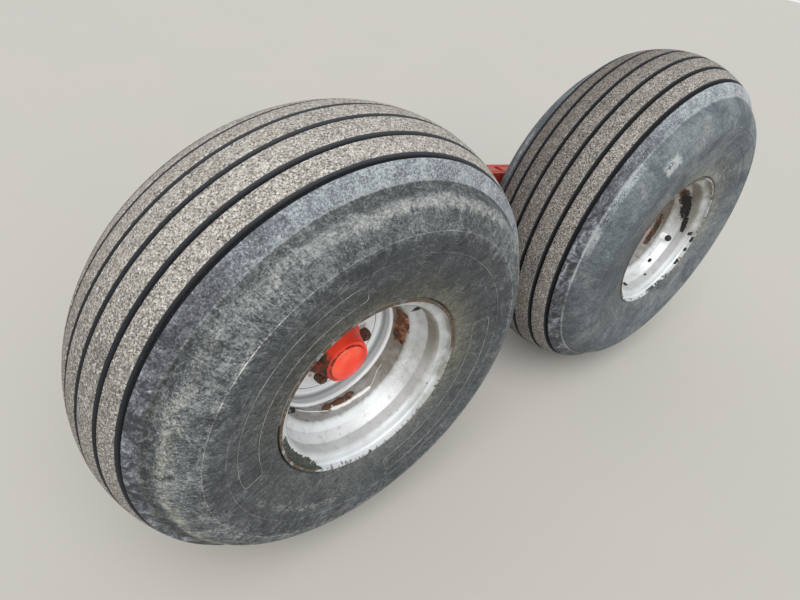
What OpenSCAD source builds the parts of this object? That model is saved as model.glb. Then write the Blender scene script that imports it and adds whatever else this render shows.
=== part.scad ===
// Walking tandem wheel unit of a farm trailer, in millimetres.
// Two flotation wheels on stub axles, one at each end of a rocker beam.
// The origin is the centre of the beam's pivot bore, X runs fore and aft,
// the wheels are on the -Y side and Z is up.

/* [Running gear] */
// Distance between the two axle centres
wheel_pitch = 1210; // [1130:5:1500]
// How far the axles lie below the pivot's centre
axle_drop = 62; // [40:1:90]
// Gap between the tyre's side and the beam
tyre_to_beam = 17; // [8:1:60]

/* [Tyre] */
// Outside diameter of the tyre
tyre_od = 1074; // [1050:1:1100]
// Width of the tyre at its widest
section_w = 446; // [436:1:460]
// Depth of the tyre's widest place under its outside
bulge_depth = 161; // [150:1:175]
// Radius of the upper sidewall's curve
sidewall_r = 104; // [100:1:108]
// Radius of the tread's crown across its width
crown_r = 284.5; // [265:0.5:330]
// Half width of the tread, from the middle to its edge
tread_half = 148; // [144:1:152]
// Middle of the first groove from the tyre's middle
groove_1 = 28; // [24:0.5:34]
// Middle of the second groove
groove_2 = 84.5; // [76:0.5:92]
// Middle of the third groove
groove_3 = 133; // [124:0.5:136]
// Width of a groove at the tread's face
groove_top = 12.5; // [9:0.5:14]
// Width of a groove at its floor
groove_floor = 6; // [5:0.5:8.5]
// Depth of a groove
groove_depth = 9; // [5:0.5:14]
// Thickness of the crown
crown_t = 24; // [18:1:30]
// Thickness of the sidewall
sidewall_t = 12; // [9:1:15]
// Height of the raised lines on the sidewall
line_h = 1; // [0.5:0.1:2]
// Width of the tyre's bead on the rim
bead_w = 32; // [26:1:33]

/* [Rim] */
// Radius of the seat that the tyre's bead sits on
bead_seat_r = 204.5; // [203:0.5:206]
// Width between the two flanges
rim_w = 355.6; // [350:0.2:360]
// Thickness of the rim's metal
rim_t = 6; // [4:0.5:7]
// Outer radius of the flange
flange_r = 229.5; // [228:0.5:232]
// How far the flange's lip reaches out from its wall
lip_w = 22; // [18:0.5:24]
// Radius of the flange's curl
curl_r = 12; // [8:0.5:13]
// Radius of the heel between seat and flange
heel_r = 8; // [5:0.5:8]
// Width of each bead seat
seat_w = 34; // [34:0.5:42]
// Width of the short slope beside the seat
slope_w = 28; // [20:1:32]
// Drop of that short slope
slope_drop = 11.5; // [6:0.5:14]
// Width of the steep side of the well
well_side_w = 15; // [10:1:24]
// Depth of the well below the seats
well_depth = 29.5; // [24:0.5:36]
// Radius of the hole for the valve
valve_hole_r = 8; // [7.5:0.1:9]

/* [Disc] */
// Where the disc's bolt face lies, outwards from the tyre's middle
disc_offset = 24; // [0:1:30]
// Thickness of the disc
disc_t = 8; // [7:0.5:10]
// Radius of the raised middle that the nuts sit on
boss_r = 138; // [126:1:140]
// Height of that middle above the dish round it
boss_h = 4; // [2:0.5:5]
// Radius of the bend between the dish and its flange
bend_r = 11; // [10.5:0.5:14]
// How far the disc's flange reaches out past the dish
flange_out = 32; // [24:1:38]
// Leg of the weld between the flange's end and the well
weld_leg = 4; // [2:0.5:6]
// Clearance between the disc's edge and the well
disc_fit = 0.2; // [0.1:0.1:0.5]

/* [Hub] */
// Radius of the circle of the studs
stud_circle_r = 101.6; // [100.6:0.2:102.4]
// Number of studs
stud_count = 8; // [5:1:8]
// Radius of a stud
stud_r = 9; // [7:0.5:10]
// Width of a nut across its flats
nut_af = 27; // [24:1:29]
// Height of a nut
nut_h = 18; // [12:1:22]
// How far a stud stands out of its nut
stud_out = 6; // [2:1:12]
// Radius of the hub's flange
hub_flange_r = 124; // [122:1:132]
// Thickness of the hub's flange
hub_flange_t = 18; // [14:1:22]
// Radius of the barrel where it passes the disc
pilot_r = 76; // [74:0.5:78]
// How far that collar of the barrel stands out of the disc
collar_out = 20; // [14:1:26]
// Radius of the barrel's cone at the collar
barrel_r = 69; // [66:0.5:72]
// Radius of the barrel at its mouth
mouth_r = 54.5; // [52:0.5:57]
// How far the mouth lies outwards from the tyre's middle
mouth_out = 102; // [96:1:108]
// How far the hub's back lies inwards from the tyre's middle
hub_back = 98; // [90:1:115]
// Radius of the barrel at its back
hub_back_r = 68; // [62:1:74]
// Radius of the dust cap
cap_r = 46.2; // [43:0.2:47]
// How far the cap stands out of the barrel's mouth
cap_out = 13; // [8:0.5:20]
// Thickness of the cap's sheet
cap_t = 2; // [1:0.5:3]

/* [Stub axle] */
// Radius of the axle at its outer bearing
outer_land_r = 22.5; // [18:0.5:25]
// Radius of the axle at its inner bearing
inner_land_r = 32.5; // [28:0.5:34]
// Length of a bearing
land_len = 28; // [20:1:32]
// Radius of the axle's body beside the beam
axle_r = 38; // [37:0.5:42]
// Running clearance of a bearing on the axle
land_fit = 0.06; // [0.02:0.01:0.09]

/* [Beam] */
// Overall width of the beam
beam_w = 64; // [58:1:120]
// Thickness of the beam's side plates
side_t = 12; // [8:1:13]
// Thickness of the top and bottom strips
strip_t = 10; // [6:1:12]
// Radius of the beam's round ends
end_r = 47; // [45:0.5:52]
// Half length of the flat crest over the pivot
crest_half = 62; // [40:1:90]
// Half length of the flat belly under the pivot
belly_half = 62; // [40:1:90]
// Gap between the pivot tube and the top strip
crest_gap = 11.5; // [2:0.5:30]
// Gap between the pivot tube and the bottom strip
belly_gap = 3.5; // [1:0.5:10]
// Thickness of the wall of the sleeve that holds a stub axle
sleeve_t = 6; // [4:0.5:8]
// How far a sleeve stands out of the beam's side plates
sleeve_out = 4; // [2:1:8]
// Radius of the two holes in the top strip
drain_r = 15; // [8:1:16]
// Distance of those holes from the pivot
drain_x = 250; // [160:1:320]

/* [Pivot] */
// Radius of the pivot bore
pivot_bore_r = 50.85; // [48:0.05:54]
// Thickness of a bush's wall
bush_t = 7; // [5:0.5:8]
// Length of a bush in the tube
bush_len = 56; // [40:1:62]
// Thickness of a bush's collar
collar_t = 6; // [4:0.5:8]
// Width of a bush's collar over its wall
collar_w = 9; // [6:0.5:11]
// Thickness of the pivot tube's wall
tube_t = 15; // [12:0.5:18]
// Length of the pivot tube
tube_len = 150; // [140:1:170]
// Clearance between a bush and the tube
bush_fit = 0.05; // [0.03:0.01:0.1]

/* [Valve] */
// Direction of the front wheel's valve round the axle, in degrees
front_valve_at = -174; // [-180:1:180]
// Direction of the rear wheel's valve round the axle, in degrees
rear_valve_at = -23; // [-180:1:180]
// Radius of the valve's stem
valve_r = 6.5; // [4:0.5:7]
// Length of the valve's stem in the open
valve_len = 34; // [20:1:50]

/* [Hidden] */

// Smoothness of the round forms, and steps in each arc of a turned profile
round_fn = 96;
small_fn = 32;
arc_steps = 6;
// Extra length of a cutting shape past the face that it cuts
cut = 1;

tyre_r = tyre_od / 2;
half_w = section_w / 2;
half_pitch = wheel_pitch / 2;
rim_half = rim_w / 2;
// Distance from the middle of the tyres to the middle of the beam
wheel_y = half_w + tyre_to_beam + beam_w / 2;
// The beam's outer and inner faces, counted inwards from the middle of the tyres
beam_near = wheel_y - beam_w / 2;
beam_far = wheel_y + beam_w / 2;

// Helpers

// Points on an arc, from angle a to angle b
function arc(cx, cy, r, a, b, steps = arc_steps) = [
    for (i = [0 : steps]) let (t = a + (b - a) * i / steps) [cx + r * cos(t), cy + r * sin(t)]
];

// A list of points the other way round, and the same mirrored across the middle
function reversed(p) = [for (i = [len(p) - 1 : -1 : 0]) p[i]];
function mirrored(p) = [for (q = reversed(p)) [-q[0], q[1]]];

// The line beside a path at distance t on its left, so that a path becomes a sheet of even thickness
function heading(p, q) = atan2(q[1] - p[1], q[0] - p[0]);
function beside(p, t) = [
    for (i = [0 : len(p) - 1])
        let (
            before = i == 0 ? heading(p[0], p[1]) : heading(p[i - 1], p[i]),
            after = i == len(p) - 1 ? before : heading(p[i], p[i + 1]),
            middle = (before + after) / 2,
            reach = t / cos((after - before) / 2)
        ) p[i] + reach * [-sin(middle), cos(middle)]
];
function sheet(p, t) = concat(p, reversed(beside(p, t)));

// A profile of [distance inwards along the axle, radius] turned about the Y axis
module turned(profile) {
    rotate([-90, 0, 0])
        rotate_extrude($fn = round_fn)
            polygon([for (p = profile) [p[1], p[0]]]);
}

// A round bar along Y between two places
module bar(y0, y1, r, fn = round_fn) {
    translate([0, y0, 0])
        rotate([-90, 0, 0])
            cylinder(h = y1 - y0, r = r, $fn = fn);
}

// A flat outline in X and Z made into a plate between two places along Y
module plate(y0, y1) {
    translate([0, y1, 0])
        rotate([90, 0, 0])
            linear_extrude(height = y1 - y0)
                children();
}

// Side is -1 for the front wheel and 1 for the rear wheel
module at_wheel(side) {
    translate([side * half_pitch, -wheel_y, -axle_drop])
        children();
}

// Tyre

tyre_gap = 0.3;
// Radius at which the tyre is widest, and the centre of the upper sidewall's curve
bulge_r = tyre_r - bulge_depth;
sidewall_c = half_w - sidewall_r;
// The curve runs up to a low ridge under the tread's edge
ridge_angle = 64;
// Places of the two raised lines, as angles round the curve
upper_line = 11;
lower_line = -14.5;
// The foot of the sidewall stands just clear of the rim's lip
foot_y = rim_half + lip_w + 1;
foot_r = flange_r + 5;
foot_top = [foot_y + 3, foot_r + 15];
// How far the lower sidewall bows out between the raised line and its foot
belly_out = 1.3;

// Radius of the tread's face at a distance from the tyre's middle
function crown_at(y) = tyre_r - crown_r + sqrt(crown_r * crown_r - y * y);
function sidewall_at(t, h = 0) = [
    sidewall_c + (sidewall_r + h) * cos(t), bulge_r + (sidewall_r + h) * sin(t)
];

groove_places = [-groove_3, -groove_2, -groove_1, groove_1, groove_2, groove_3];

function groove(y) = [
    [y - groove_top / 2, crown_at(y - groove_top / 2)],
    [y - groove_floor / 2, crown_at(y) - groove_depth],
    [y + groove_floor / 2, crown_at(y) - groove_depth],
    [y + groove_top / 2, crown_at(y + groove_top / 2)]
];

// A raised line has the columns: degrees from its middle, height
line_shape = [[1.2, 0], [0.4, 1], [-0.4, 1], [-1.2, 0]];
function raised_line(t) = [for (s = line_shape) sidewall_at(t + s[0], s[1] * line_h)];

tread_face = concat(
    [[-tread_half, crown_at(tread_half)]],
    [for (y = groove_places) each groove(y)],
    [[tread_half, crown_at(tread_half)]]
);

// From the ridge under the tread down to the rim's lip
sidewall_outside = concat(
    arc(sidewall_c, bulge_r, sidewall_r, ridge_angle, upper_line + 3),
    raised_line(upper_line),
    [sidewall_at(0)],
    raised_line(lower_line),
    [(sidewall_at(lower_line) + foot_top) / 2 + [belly_out, 0], foot_top, [foot_y, foot_r]]
);

// Round the flange's curl and heel, then along the seat to the bead's toe
bead_outside = concat(
    arc(rim_half + curl_r, flange_r - curl_r, curl_r + tyre_gap, 90, 180),
    arc(rim_half - heel_r, bead_seat_r + heel_r, heel_r - tyre_gap, 0, -90),
    [[rim_half - bead_w, bead_seat_r + tyre_gap]]
);

carcass_inside = concat(
    [[rim_half - bead_w, bead_seat_r + bead_w / 3], [rim_half - sidewall_t / 2, bead_seat_r + 1.5 * bead_w]],
    arc(sidewall_c, bulge_r, sidewall_r - sidewall_t, -30, ridge_angle)
);

tyre_side = concat(sidewall_outside, bead_outside, carcass_inside);
crown_inside = [for (i = [3 : -1 : -3]) let (y = i * tread_half / 5) [y, crown_at(y) - crown_t]];

module tyre() {
    color([0.19, 0.19, 0.2])
        turned(concat(tread_face, tyre_side, crown_inside, mirrored(tyre_side)));
}

// Rim

seat_foot = rim_half - seat_w;
slope_foot = seat_foot - slope_w;
well_foot = slope_foot - well_side_w;
well_air_r = bead_seat_r - well_depth - rim_t;

// The rim's side under the tyre, from the lip's tip down to the well
rim_side = concat(
    [[rim_half + lip_w, flange_r]],
    arc(rim_half + curl_r, flange_r - curl_r, curl_r, 90, 180),
    arc(rim_half - heel_r, bead_seat_r + heel_r, heel_r, 0, -90),
    [
        [seat_foot, bead_seat_r],
        [slope_foot, bead_seat_r - slope_drop],
        [well_foot, bead_seat_r - well_depth]
    ]
);

// The valve stands square on the middle of the outer slope, pointing at the open side
valve_tilt = atan2(slope_drop, slope_w);

module at_valve(angle) {
    rotate([0, -angle, 0])
        translate([bead_seat_r - slope_drop / 2, -seat_foot + slope_w / 2, 0])
            rotate([0, 0, valve_tilt])
                rotate([0, -90, 0])
                    children();
}

module rim(valve_at) {
    color([0.72, 0.72, 0.7])
        difference() {
            turned(sheet(concat(rim_side, mirrored(rim_side)), rim_t));
            at_valve(valve_at)
                translate([0, 0, -cut])
                    cylinder(h = rim_t + 2 * cut, r = valve_hole_r, $fn = small_fn);
        }
}

module valve(angle) {
    collar_r = valve_hole_r + 3;
    collar_h = 4;
    // The rim curves away under the flat collar
    collar_lift = 0.5;
    color([0.08, 0.08, 0.08])
        at_valve(angle) {
            // The neck in the hole, then the collar, the stem and its cap
            cylinder(h = rim_t + collar_lift, r = valve_hole_r - disc_fit, $fn = small_fn);
            translate([0, 0, rim_t + collar_lift])
                cylinder(h = collar_h, r1 = collar_r, r2 = valve_r, $fn = small_fn);
            cylinder(h = rim_t + valve_len, r = valve_r, $fn = small_fn);
            translate([0, 0, rim_t + valve_len * 0.7])
                cylinder(h = valve_len * 0.35, r = valve_r + 0.8, $fn = small_fn);
        }
}

// Disc

bolt_face = -disc_offset;
disc_back = bolt_face + disc_t;
edge_r = well_air_r - disc_fit;
dish_y = bolt_face + boss_h;
flange_end = dish_y - flange_out;
flange_in_r = edge_r - disc_t;
pilot_gap = 0.5;
stud_gap = 0.3;

// Angle of the first stud, then the even spacing round the circle
first_stud = -10.5;
module at_studs() {
    for (i = [0 : stud_count - 1])
        rotate([0, -first_stud - i * 360 / stud_count, 0])
            translate([stud_circle_r, 0, 0])
                children();
}

// The disc's open face, from the pilot hole over the raised middle and the dish to the end of its flange
disc_face = concat(
    [
        [bolt_face, pilot_r + pilot_gap],
        [bolt_face, boss_r],
        [dish_y, boss_r + boss_h]
    ],
    arc(dish_y - bend_r, flange_in_r - bend_r, bend_r, 0, 90),
    [[flange_end, flange_in_r]]
);

module disc() {
    color([0.72, 0.72, 0.7])
        difference() {
            turned(concat(disc_face, [[flange_end - weld_leg, edge_r]], reversed(beside(disc_face, -disc_t))));
            at_studs()
                bar(bolt_face - cut, disc_back + cut, stud_r + stud_gap, small_fn);
        }
}

// Hub

mouth_y = -mouth_out;
flange_back = disc_back + hub_flange_t;
cap_bore_r = cap_r + 1;
cavity_r = inner_land_r + 8;
seal_bore_r = inner_land_r + 14;
seal_len = 14;
// The bearings' places
inner_land_end = hub_back - seal_len - 4;
outer_land_end = mouth_y + 44;

hub_outside = [
    [mouth_y, mouth_r],
    [bolt_face - collar_out - 3, barrel_r],
    [bolt_face - collar_out, pilot_r],
    [disc_back, pilot_r],
    [disc_back, hub_flange_r],
    [flange_back, hub_flange_r],
    [flange_back, pilot_r + 8],
    [flange_back + 10, pilot_r + 2],
    [hub_back, hub_back_r]
];
hub_inside = [
    [hub_back, seal_bore_r],
    [inner_land_end, seal_bore_r],
    [inner_land_end, inner_land_r + land_fit],
    [inner_land_end - land_len, inner_land_r + land_fit],
    [inner_land_end - land_len, cavity_r],
    [outer_land_end + land_len, cavity_r],
    [outer_land_end + land_len, outer_land_r + land_fit],
    [outer_land_end, outer_land_r + land_fit],
    [outer_land_end, cap_bore_r],
    [mouth_y, cap_bore_r]
];

module hub() {
    color([0.8, 0.13, 0.08])
        difference() {
            turned(concat(hub_outside, hub_inside));
            at_studs()
                bar(disc_back - cut, flange_back + cut, stud_r + stud_gap, small_fn);
        }
}

module hub_seal() {
    lip_gap = 0.3;
    color([0.1, 0.1, 0.1])
        turned([
            [hub_back - 1, seal_bore_r - 0.1],
            [hub_back - seal_len, seal_bore_r - 0.1],
            [hub_back - seal_len, seal_shaft_r + lip_gap],
            [hub_back - seal_len / 2, seal_shaft_r + lip_gap],
            [hub_back - 1, seal_shaft_r + 5]
        ]);
}

// The cap's outside, from its skirt in the barrel over a flattened dome to the middle of its end
dome_foot = 2;
dome_flatness = 0.75;
cap_face = concat(
    [[mouth_y + 14, cap_bore_r - 0.1], [mouth_y + 1, cap_bore_r - 0.1], [mouth_y, cap_r]],
    [for (p = arc(0, 0, 1, 0, 84, 10))
        [mouth_y - dome_foot - (cap_out - dome_foot) * p[1], cap_r * pow(p[0], dome_flatness)]],
    [[mouth_y - cap_out - 0.2, 0]]
);

module hub_cap() {
    color([0.85, 0.16, 0.09])
        turned(cap_sheet());
}
function cap_sheet() = let (inner = beside(cap_face, cap_t), n = len(cap_face))
    concat(
        cap_face,
        [[cap_face[n - 1][0] + cap_t, 0]],
        reversed([for (i = [0 : n - 2]) inner[i]])
    );

module nuts() {
    washer_h = 2;
    head_h = 6;
    color([0.3, 0.2, 0.15])
        at_studs() {
            bar(bolt_face - washer_h, bolt_face, nut_af * 0.56, small_fn);
            bar(bolt_face - nut_h, bolt_face - washer_h, nut_af / sqrt(3), 6);
            bar(bolt_face - nut_h - stud_out, flange_back + head_h, stud_r, small_fn);
            bar(flange_back, flange_back + head_h, stud_r + 4, small_fn);
        }
}

// Stub axle

seal_shaft_r = inner_land_r + 3.5;
thread_r = outer_land_r - 2.5;
sleeve_r = end_r - strip_t - cut;
axle_root_r = sleeve_r - sleeve_t;
axle_shoulder = beam_near - sleeve_out;

spindle_profile = [
    [beam_far + sleeve_out, 0],
    [beam_far + sleeve_out, axle_root_r],
    [axle_shoulder, axle_root_r],
    [axle_shoulder, axle_r],
    [hub_back + 30, axle_r],
    [hub_back + 12, seal_shaft_r],
    [inner_land_end + 1, seal_shaft_r],
    [inner_land_end + 1, inner_land_r],
    [inner_land_end - land_len - 1, inner_land_r],
    [outer_land_end + land_len + 6, outer_land_r + 4],
    [outer_land_end + land_len + 1, outer_land_r],
    [outer_land_end - 1, outer_land_r],
    [outer_land_end - 1, thread_r],
    [outer_land_end - 28, thread_r],
    [outer_land_end - 28, 0]
];

module spindle() {
    axle_nut_h = 18;
    color([0.55, 0.12, 0.08]) {
        turned(spindle_profile);
        // The hexagon nut that holds the hub on
        bar(outer_land_end - 2 - axle_nut_h, outer_land_end - 2, thread_r * 1.6, 6);
    }
}

// Beam

tube_in_r = pivot_bore_r + bush_t + bush_fit;
tube_r = tube_in_r + tube_t;
crest_z = tube_r + crest_gap + strip_t;
belly_z = -(tube_r + belly_gap + strip_t);
// Slopes of the lines that run from the crest and the belly to touch the round ends
crest_run = half_pitch - crest_half;
belly_run = half_pitch - belly_half;
crest_rise = crest_z + axle_drop;
belly_rise = -axle_drop - belly_z;
top_slope = atan2(crest_rise, crest_run) - asin(end_r / norm([crest_run, crest_rise]));
belly_slope = asin(end_r / norm([belly_run, belly_rise])) - atan2(belly_rise, belly_run);

// One half of the beam's outline, shrunk by d on every side, from the crest round the end to the belly
function beam_half(d) = concat(
    [[crest_half - d * tan(top_slope / 2), crest_z - d]],
    arc(half_pitch, -axle_drop, end_r - d, 90 - top_slope, -90 - belly_slope, end_steps),
    [[belly_half + d * tan(belly_slope / 2), belly_z + d]]
);
end_steps = 20;

module beam_outline(d = 0) {
    polygon(concat(beam_half(d), mirrored(beam_half(d))));
}

module beam_side(y0, y1) {
    difference() {
        plate(y0, y1)
            beam_outline();
        bar(y0 - cut, y1 + cut, tube_r + weld_gap);
        for (side = [-1, 1])
            translate([side * half_pitch, 0, -axle_drop])
                bar(y0 - cut, y1 + cut, sleeve_r + weld_gap);
    }
}

weld_gap = 0.2;
beam_red = [0.78, 0.12, 0.07];
strip_half = beam_w / 2 - side_t;

module beam_outer_side() {
    color(beam_red)
        beam_side(-beam_w / 2, -strip_half);
}

module beam_inner_side() {
    color(beam_red)
        beam_side(strip_half, beam_w / 2);
}

// The strip round the beam's edge, from the axles upwards or downwards
module strip(from_z, to_z) {
    reach = half_pitch + end_r + cut;
    plate(-strip_half, strip_half)
        intersection() {
            difference() {
                beam_outline();
                beam_outline(strip_t);
            }
            translate([-reach, from_z])
                square([2 * reach, to_z - from_z]);
        }
}

module beam_top_strip() {
    drain_z = -axle_drop + (end_r + (half_pitch - drain_x) * sin(top_slope)) / cos(top_slope);
    color(beam_red)
        difference() {
            strip(-axle_drop, crest_z + cut);
            for (side = [-1, 1])
                translate([side * drain_x, 0, drain_z])
                    rotate([0, side * top_slope, 0])
                        translate([0, 0, -strip_t - cut])
                            cylinder(h = strip_t + 2 * cut, r = drain_r, $fn = small_fn);
        }
}

module beam_bottom_strip() {
    color(beam_red)
        strip(-axle_drop - end_r - cut, -axle_drop);
}

module sleeve(side) {
    reach = beam_w / 2 + sleeve_out;
    color(beam_red)
        translate([side * half_pitch, 0, -axle_drop])
            difference() {
                bar(-reach, reach, sleeve_r);
                bar(-reach - cut, reach + cut, axle_root_r + weld_gap);
            }
}

// Pivot

module pivot_tube() {
    color(beam_red)
        difference() {
            bar(-tube_len / 2, tube_len / 2, tube_r);
            bar(-tube_len / 2 - cut, tube_len / 2 + cut, tube_in_r);
            // The way in for the grease
            translate([0, fitting_y, tube_in_r - cut])
                cylinder(h = tube_t + 2 * cut, r = fitting_r + bush_fit, $fn = small_fn);
        }
}

// A bush pushed in from the outer end, or mirrored from the inner end
module pivot_bush(side) {
    color([0.62, 0.5, 0.3])
        mirror([0, side > 0 ? 1 : 0, 0])
            turned([
                [-tube_len / 2 - collar_t, pivot_bore_r],
                [-tube_len / 2 - collar_t, pivot_bore_r + bush_t + collar_w],
                [-tube_len / 2, pivot_bore_r + bush_t + collar_w],
                [-tube_len / 2, pivot_bore_r + bush_t],
                [-tube_len / 2 + bush_len, pivot_bore_r + bush_t],
                [-tube_len / 2 + bush_len, pivot_bore_r]
            ]);
}

fitting_r = 4;
fitting_y = -(beam_w / 2 + tube_len / 2) / 2;

module pivot_grease_fitting() {
    hex_h = 5;
    neck_h = 7;
    color([0.6, 0.58, 0.5])
        translate([0, fitting_y, tube_r]) {
            translate([0, 0, -tube_t / 2])
                cylinder(h = tube_t / 2 + hex_h, r = fitting_r, $fn = small_fn);
            cylinder(h = hex_h, r = fitting_r * 1.6, $fn = 6);
            translate([0, 0, hex_h])
                cylinder(h = neck_h, r1 = fitting_r * 0.8, r2 = fitting_r * 0.6, $fn = small_fn);
            translate([0, 0, hex_h + neck_h])
                sphere(r = fitting_r * 0.8, $fn = small_fn);
        }
}

beam_outer_side();
beam_inner_side();
beam_top_strip();
beam_bottom_strip();
sleeve(-1);  // front_sleeve
sleeve(1);  // rear_sleeve
pivot_tube();
pivot_bush(-1);  // pivot_bush_outer
pivot_bush(1);  // pivot_bush_inner
pivot_grease_fitting();
at_wheel(-1) spindle();  // front_spindle
at_wheel(1) spindle();  // rear_spindle
at_wheel(-1) tyre();  // front_tyre
at_wheel(-1) rim(front_valve_at);  // front_rim
at_wheel(-1) disc();  // front_disc
at_wheel(-1) hub();  // front_hub
at_wheel(-1) hub_seal();  // front_hub_seal
at_wheel(-1) hub_cap();  // front_hub_cap
at_wheel(-1) nuts();  // front_nuts
at_wheel(-1) valve(front_valve_at);  // front_valve
at_wheel(1) tyre();  // rear_tyre
at_wheel(1) rim(rear_valve_at);  // rear_rim
at_wheel(1) disc();  // rear_disc
at_wheel(1) hub();  // rear_hub
at_wheel(1) hub_seal();  // rear_hub_seal
at_wheel(1) hub_cap();  // rear_hub_cap
at_wheel(1) nuts();  // rear_nuts
at_wheel(1) valve(rear_valve_at);  // rear_valve
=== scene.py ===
"""Looks of a walking tandem wheel unit: two ribbed flotation wheels on a rocking beam.

Laid out as a Blender add-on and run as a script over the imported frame, in metres."""

import math

import bpy
from mathutils import Matrix, Vector


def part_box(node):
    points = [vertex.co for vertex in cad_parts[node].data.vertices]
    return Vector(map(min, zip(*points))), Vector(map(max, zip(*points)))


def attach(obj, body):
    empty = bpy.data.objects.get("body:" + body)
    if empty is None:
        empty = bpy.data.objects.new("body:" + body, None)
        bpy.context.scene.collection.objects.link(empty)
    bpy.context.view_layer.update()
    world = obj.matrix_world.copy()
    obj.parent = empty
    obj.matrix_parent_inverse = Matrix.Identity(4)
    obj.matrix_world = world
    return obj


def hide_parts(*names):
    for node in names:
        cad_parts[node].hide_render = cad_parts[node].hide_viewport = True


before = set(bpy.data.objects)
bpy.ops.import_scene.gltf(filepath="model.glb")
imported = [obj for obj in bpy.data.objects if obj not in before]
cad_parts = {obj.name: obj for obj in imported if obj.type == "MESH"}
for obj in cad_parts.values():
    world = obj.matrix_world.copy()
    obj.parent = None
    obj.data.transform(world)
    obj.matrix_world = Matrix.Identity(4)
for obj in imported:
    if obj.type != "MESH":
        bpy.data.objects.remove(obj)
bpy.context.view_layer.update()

bl_info = {
    "name": "Walking Tandem Wheel Unit",
    "version": (1, 0, 0),
    "blender": (4, 5, 0),
    "location": "View3D > Sidebar > Wheel Unit",
    "description": "Dresses the packed wheel unit with its finishes and small pieces",
    "category": "Object",
}

SIDES = ("front", "rear")


def middle(node):
    low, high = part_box(node)
    return (low + high) / 2


# Middle of each wheel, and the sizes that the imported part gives
WHEEL_AT = {side: middle(f"{side}_rim") for side in SIDES}
PITCH = WHEEL_AT["rear"].x - WHEEL_AT["front"].x
TYRE_R = (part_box("front_tyre")[1].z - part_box("front_tyre")[0].z) / 2
TYRE_HALF = (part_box("front_tyre")[1].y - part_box("front_tyre")[0].y) / 2 - 0.001
GROUND_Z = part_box("front_tyre")[0].z
BEAM_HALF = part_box("beam_inner_side")[1].y
AXLE_Z = WHEEL_AT["front"].z

# Turned form of the tyre, in metres from the middle of the wheel, and three places on the sidewall's
# arc, in degrees
CROWN_R = 0.2845
TREAD_HALF = 0.148
GROOVES = (0.028, 0.0845, 0.133)
GROOVE_HALF, GROOVE_FLOOR, GROOVE_DEEP = 0.00625, 0.003, 0.009
SIDEWALL_R = 0.104
SIDEWALL_C = TYRE_HALF - SIDEWALL_R
BULGE_R = TYRE_R - 0.161
RIDGE_T, UPPER_LINE_T, LOWER_LINE_T = 64.0, 11.0, -14.5
TYRE_STEPS = 192
# Raised panel outline of the sidewall: its middle, its half and the rear wheel's turn in degrees, then
# its two radii and its corners
OUTLINE_AT, OUTLINE_SPREAD, REAR_OUTLINE_TURN = 148.5, 46, 64
OUTLINE_LOW_R, OUTLINE_HIGH_R, OUTLINE_CORNER = 0.279, 0.3255, 0.006
# Rim, disc and hub
RIM_HALF, SEAT_R, FLANGE_R = 0.1778, 0.2045, 0.2295
LIP_W, CURL_R, HEEL_R, BEAD_W = 0.022, 0.012, 0.008, 0.032
WELL_R = 0.169
STUD_CIRCLE_R, STUD_COUNT, FIRST_STUD, STUD_R = 0.1016, 8, -10.5, 0.009
NUT_AF, NUT_H, STUD_OUT = 0.027, 0.018, 0.006
BOLT_FACE, FLANGE_BACK, DISC_FLANGE_END = -0.024, 0.002, -0.052
# Valves: angle round each wheel, foot as a radius and a place along the axle, and tilt
VALVE_AT = {"front": -174, "rear": -23}
VALVE_FOOT, VALVE_TILT = (0.19875, -0.1298), 22.33
CAP_STEPS = 24
# Beam and pivot
HALF_PITCH, END_R, SLEEVE_R, SLEEVE_OUT = PITCH / 2, 0.047, 0.036, 0.004
CREST_HALF, CREST_Z, BELLY_Z = 0.062, 0.0944, -0.0864
STRIP_HALF = 0.020
TUBE_R = 0.0729
FITTING_AT = (0.0, -0.0535, TUBE_R)
# Weld beads: radii of two rings, then how deep a seam sinks and how thin a bead ends, as shares of its
# radius
DISC_WELD_R, AXLE_WELD_R = WELL_R - 0.0016, 0.0301
SEAM_SINK, BEAD_END = 0.45, 0.4
# Old repair in the front rim's well: radius, ripple and lift of its beads, and the grain it is fused with
BAR_R, BAR_RIPPLE, BAR_LIFT, BAR_GRAIN = 0.0056, 0.017, 0.0030, 0.0010
CRUMB_R, CRUMB_RIPPLE, CRUMB_LIFT, CRUMB_GRAIN = 0.0054, 0.009, 0.0058, 0.0013
SCAR_RIPPLE, SCAR_LIFT = 0.009, 0.0003
# Its lines, as degrees round the axle and millimetres along it, each scar with its own radius
BAR_LINE = [(-97, -82), (-90, -84), (-82, -87), (-74, -86), (-66, -89), (-57, -91)]
SCAR_LINES = ((0.0014, [(-128, -63), (-118, -69), (-110, -73), (-103, -78), (-99, -82)]),
              (0.0008, [(-57, -90), (-50, -81), (-44, -73), (-37, -71)]))
CRUMB_LINES = ([(-104, -76), (-98, -69), (-92, -77), (-86, -66), (-79, -76), (-73, -69)],
               [(-101, -80), (-95, -72), (-89, -70), (-84, -79), (-77, -68), (-71, -76)],
               [(-97, -76), (-90, -80), (-83, -74), (-76, -80)])
# Seeds that give the finishes of the front and rear wheel patterns of their own
TYRE_SEEDS, RIM_SEEDS, HUB_SEEDS, VALVE_SEEDS = (0.0, 17.0), (4.0, 29.0), (2.0, 13.0), (4.0, 11.0)
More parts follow.
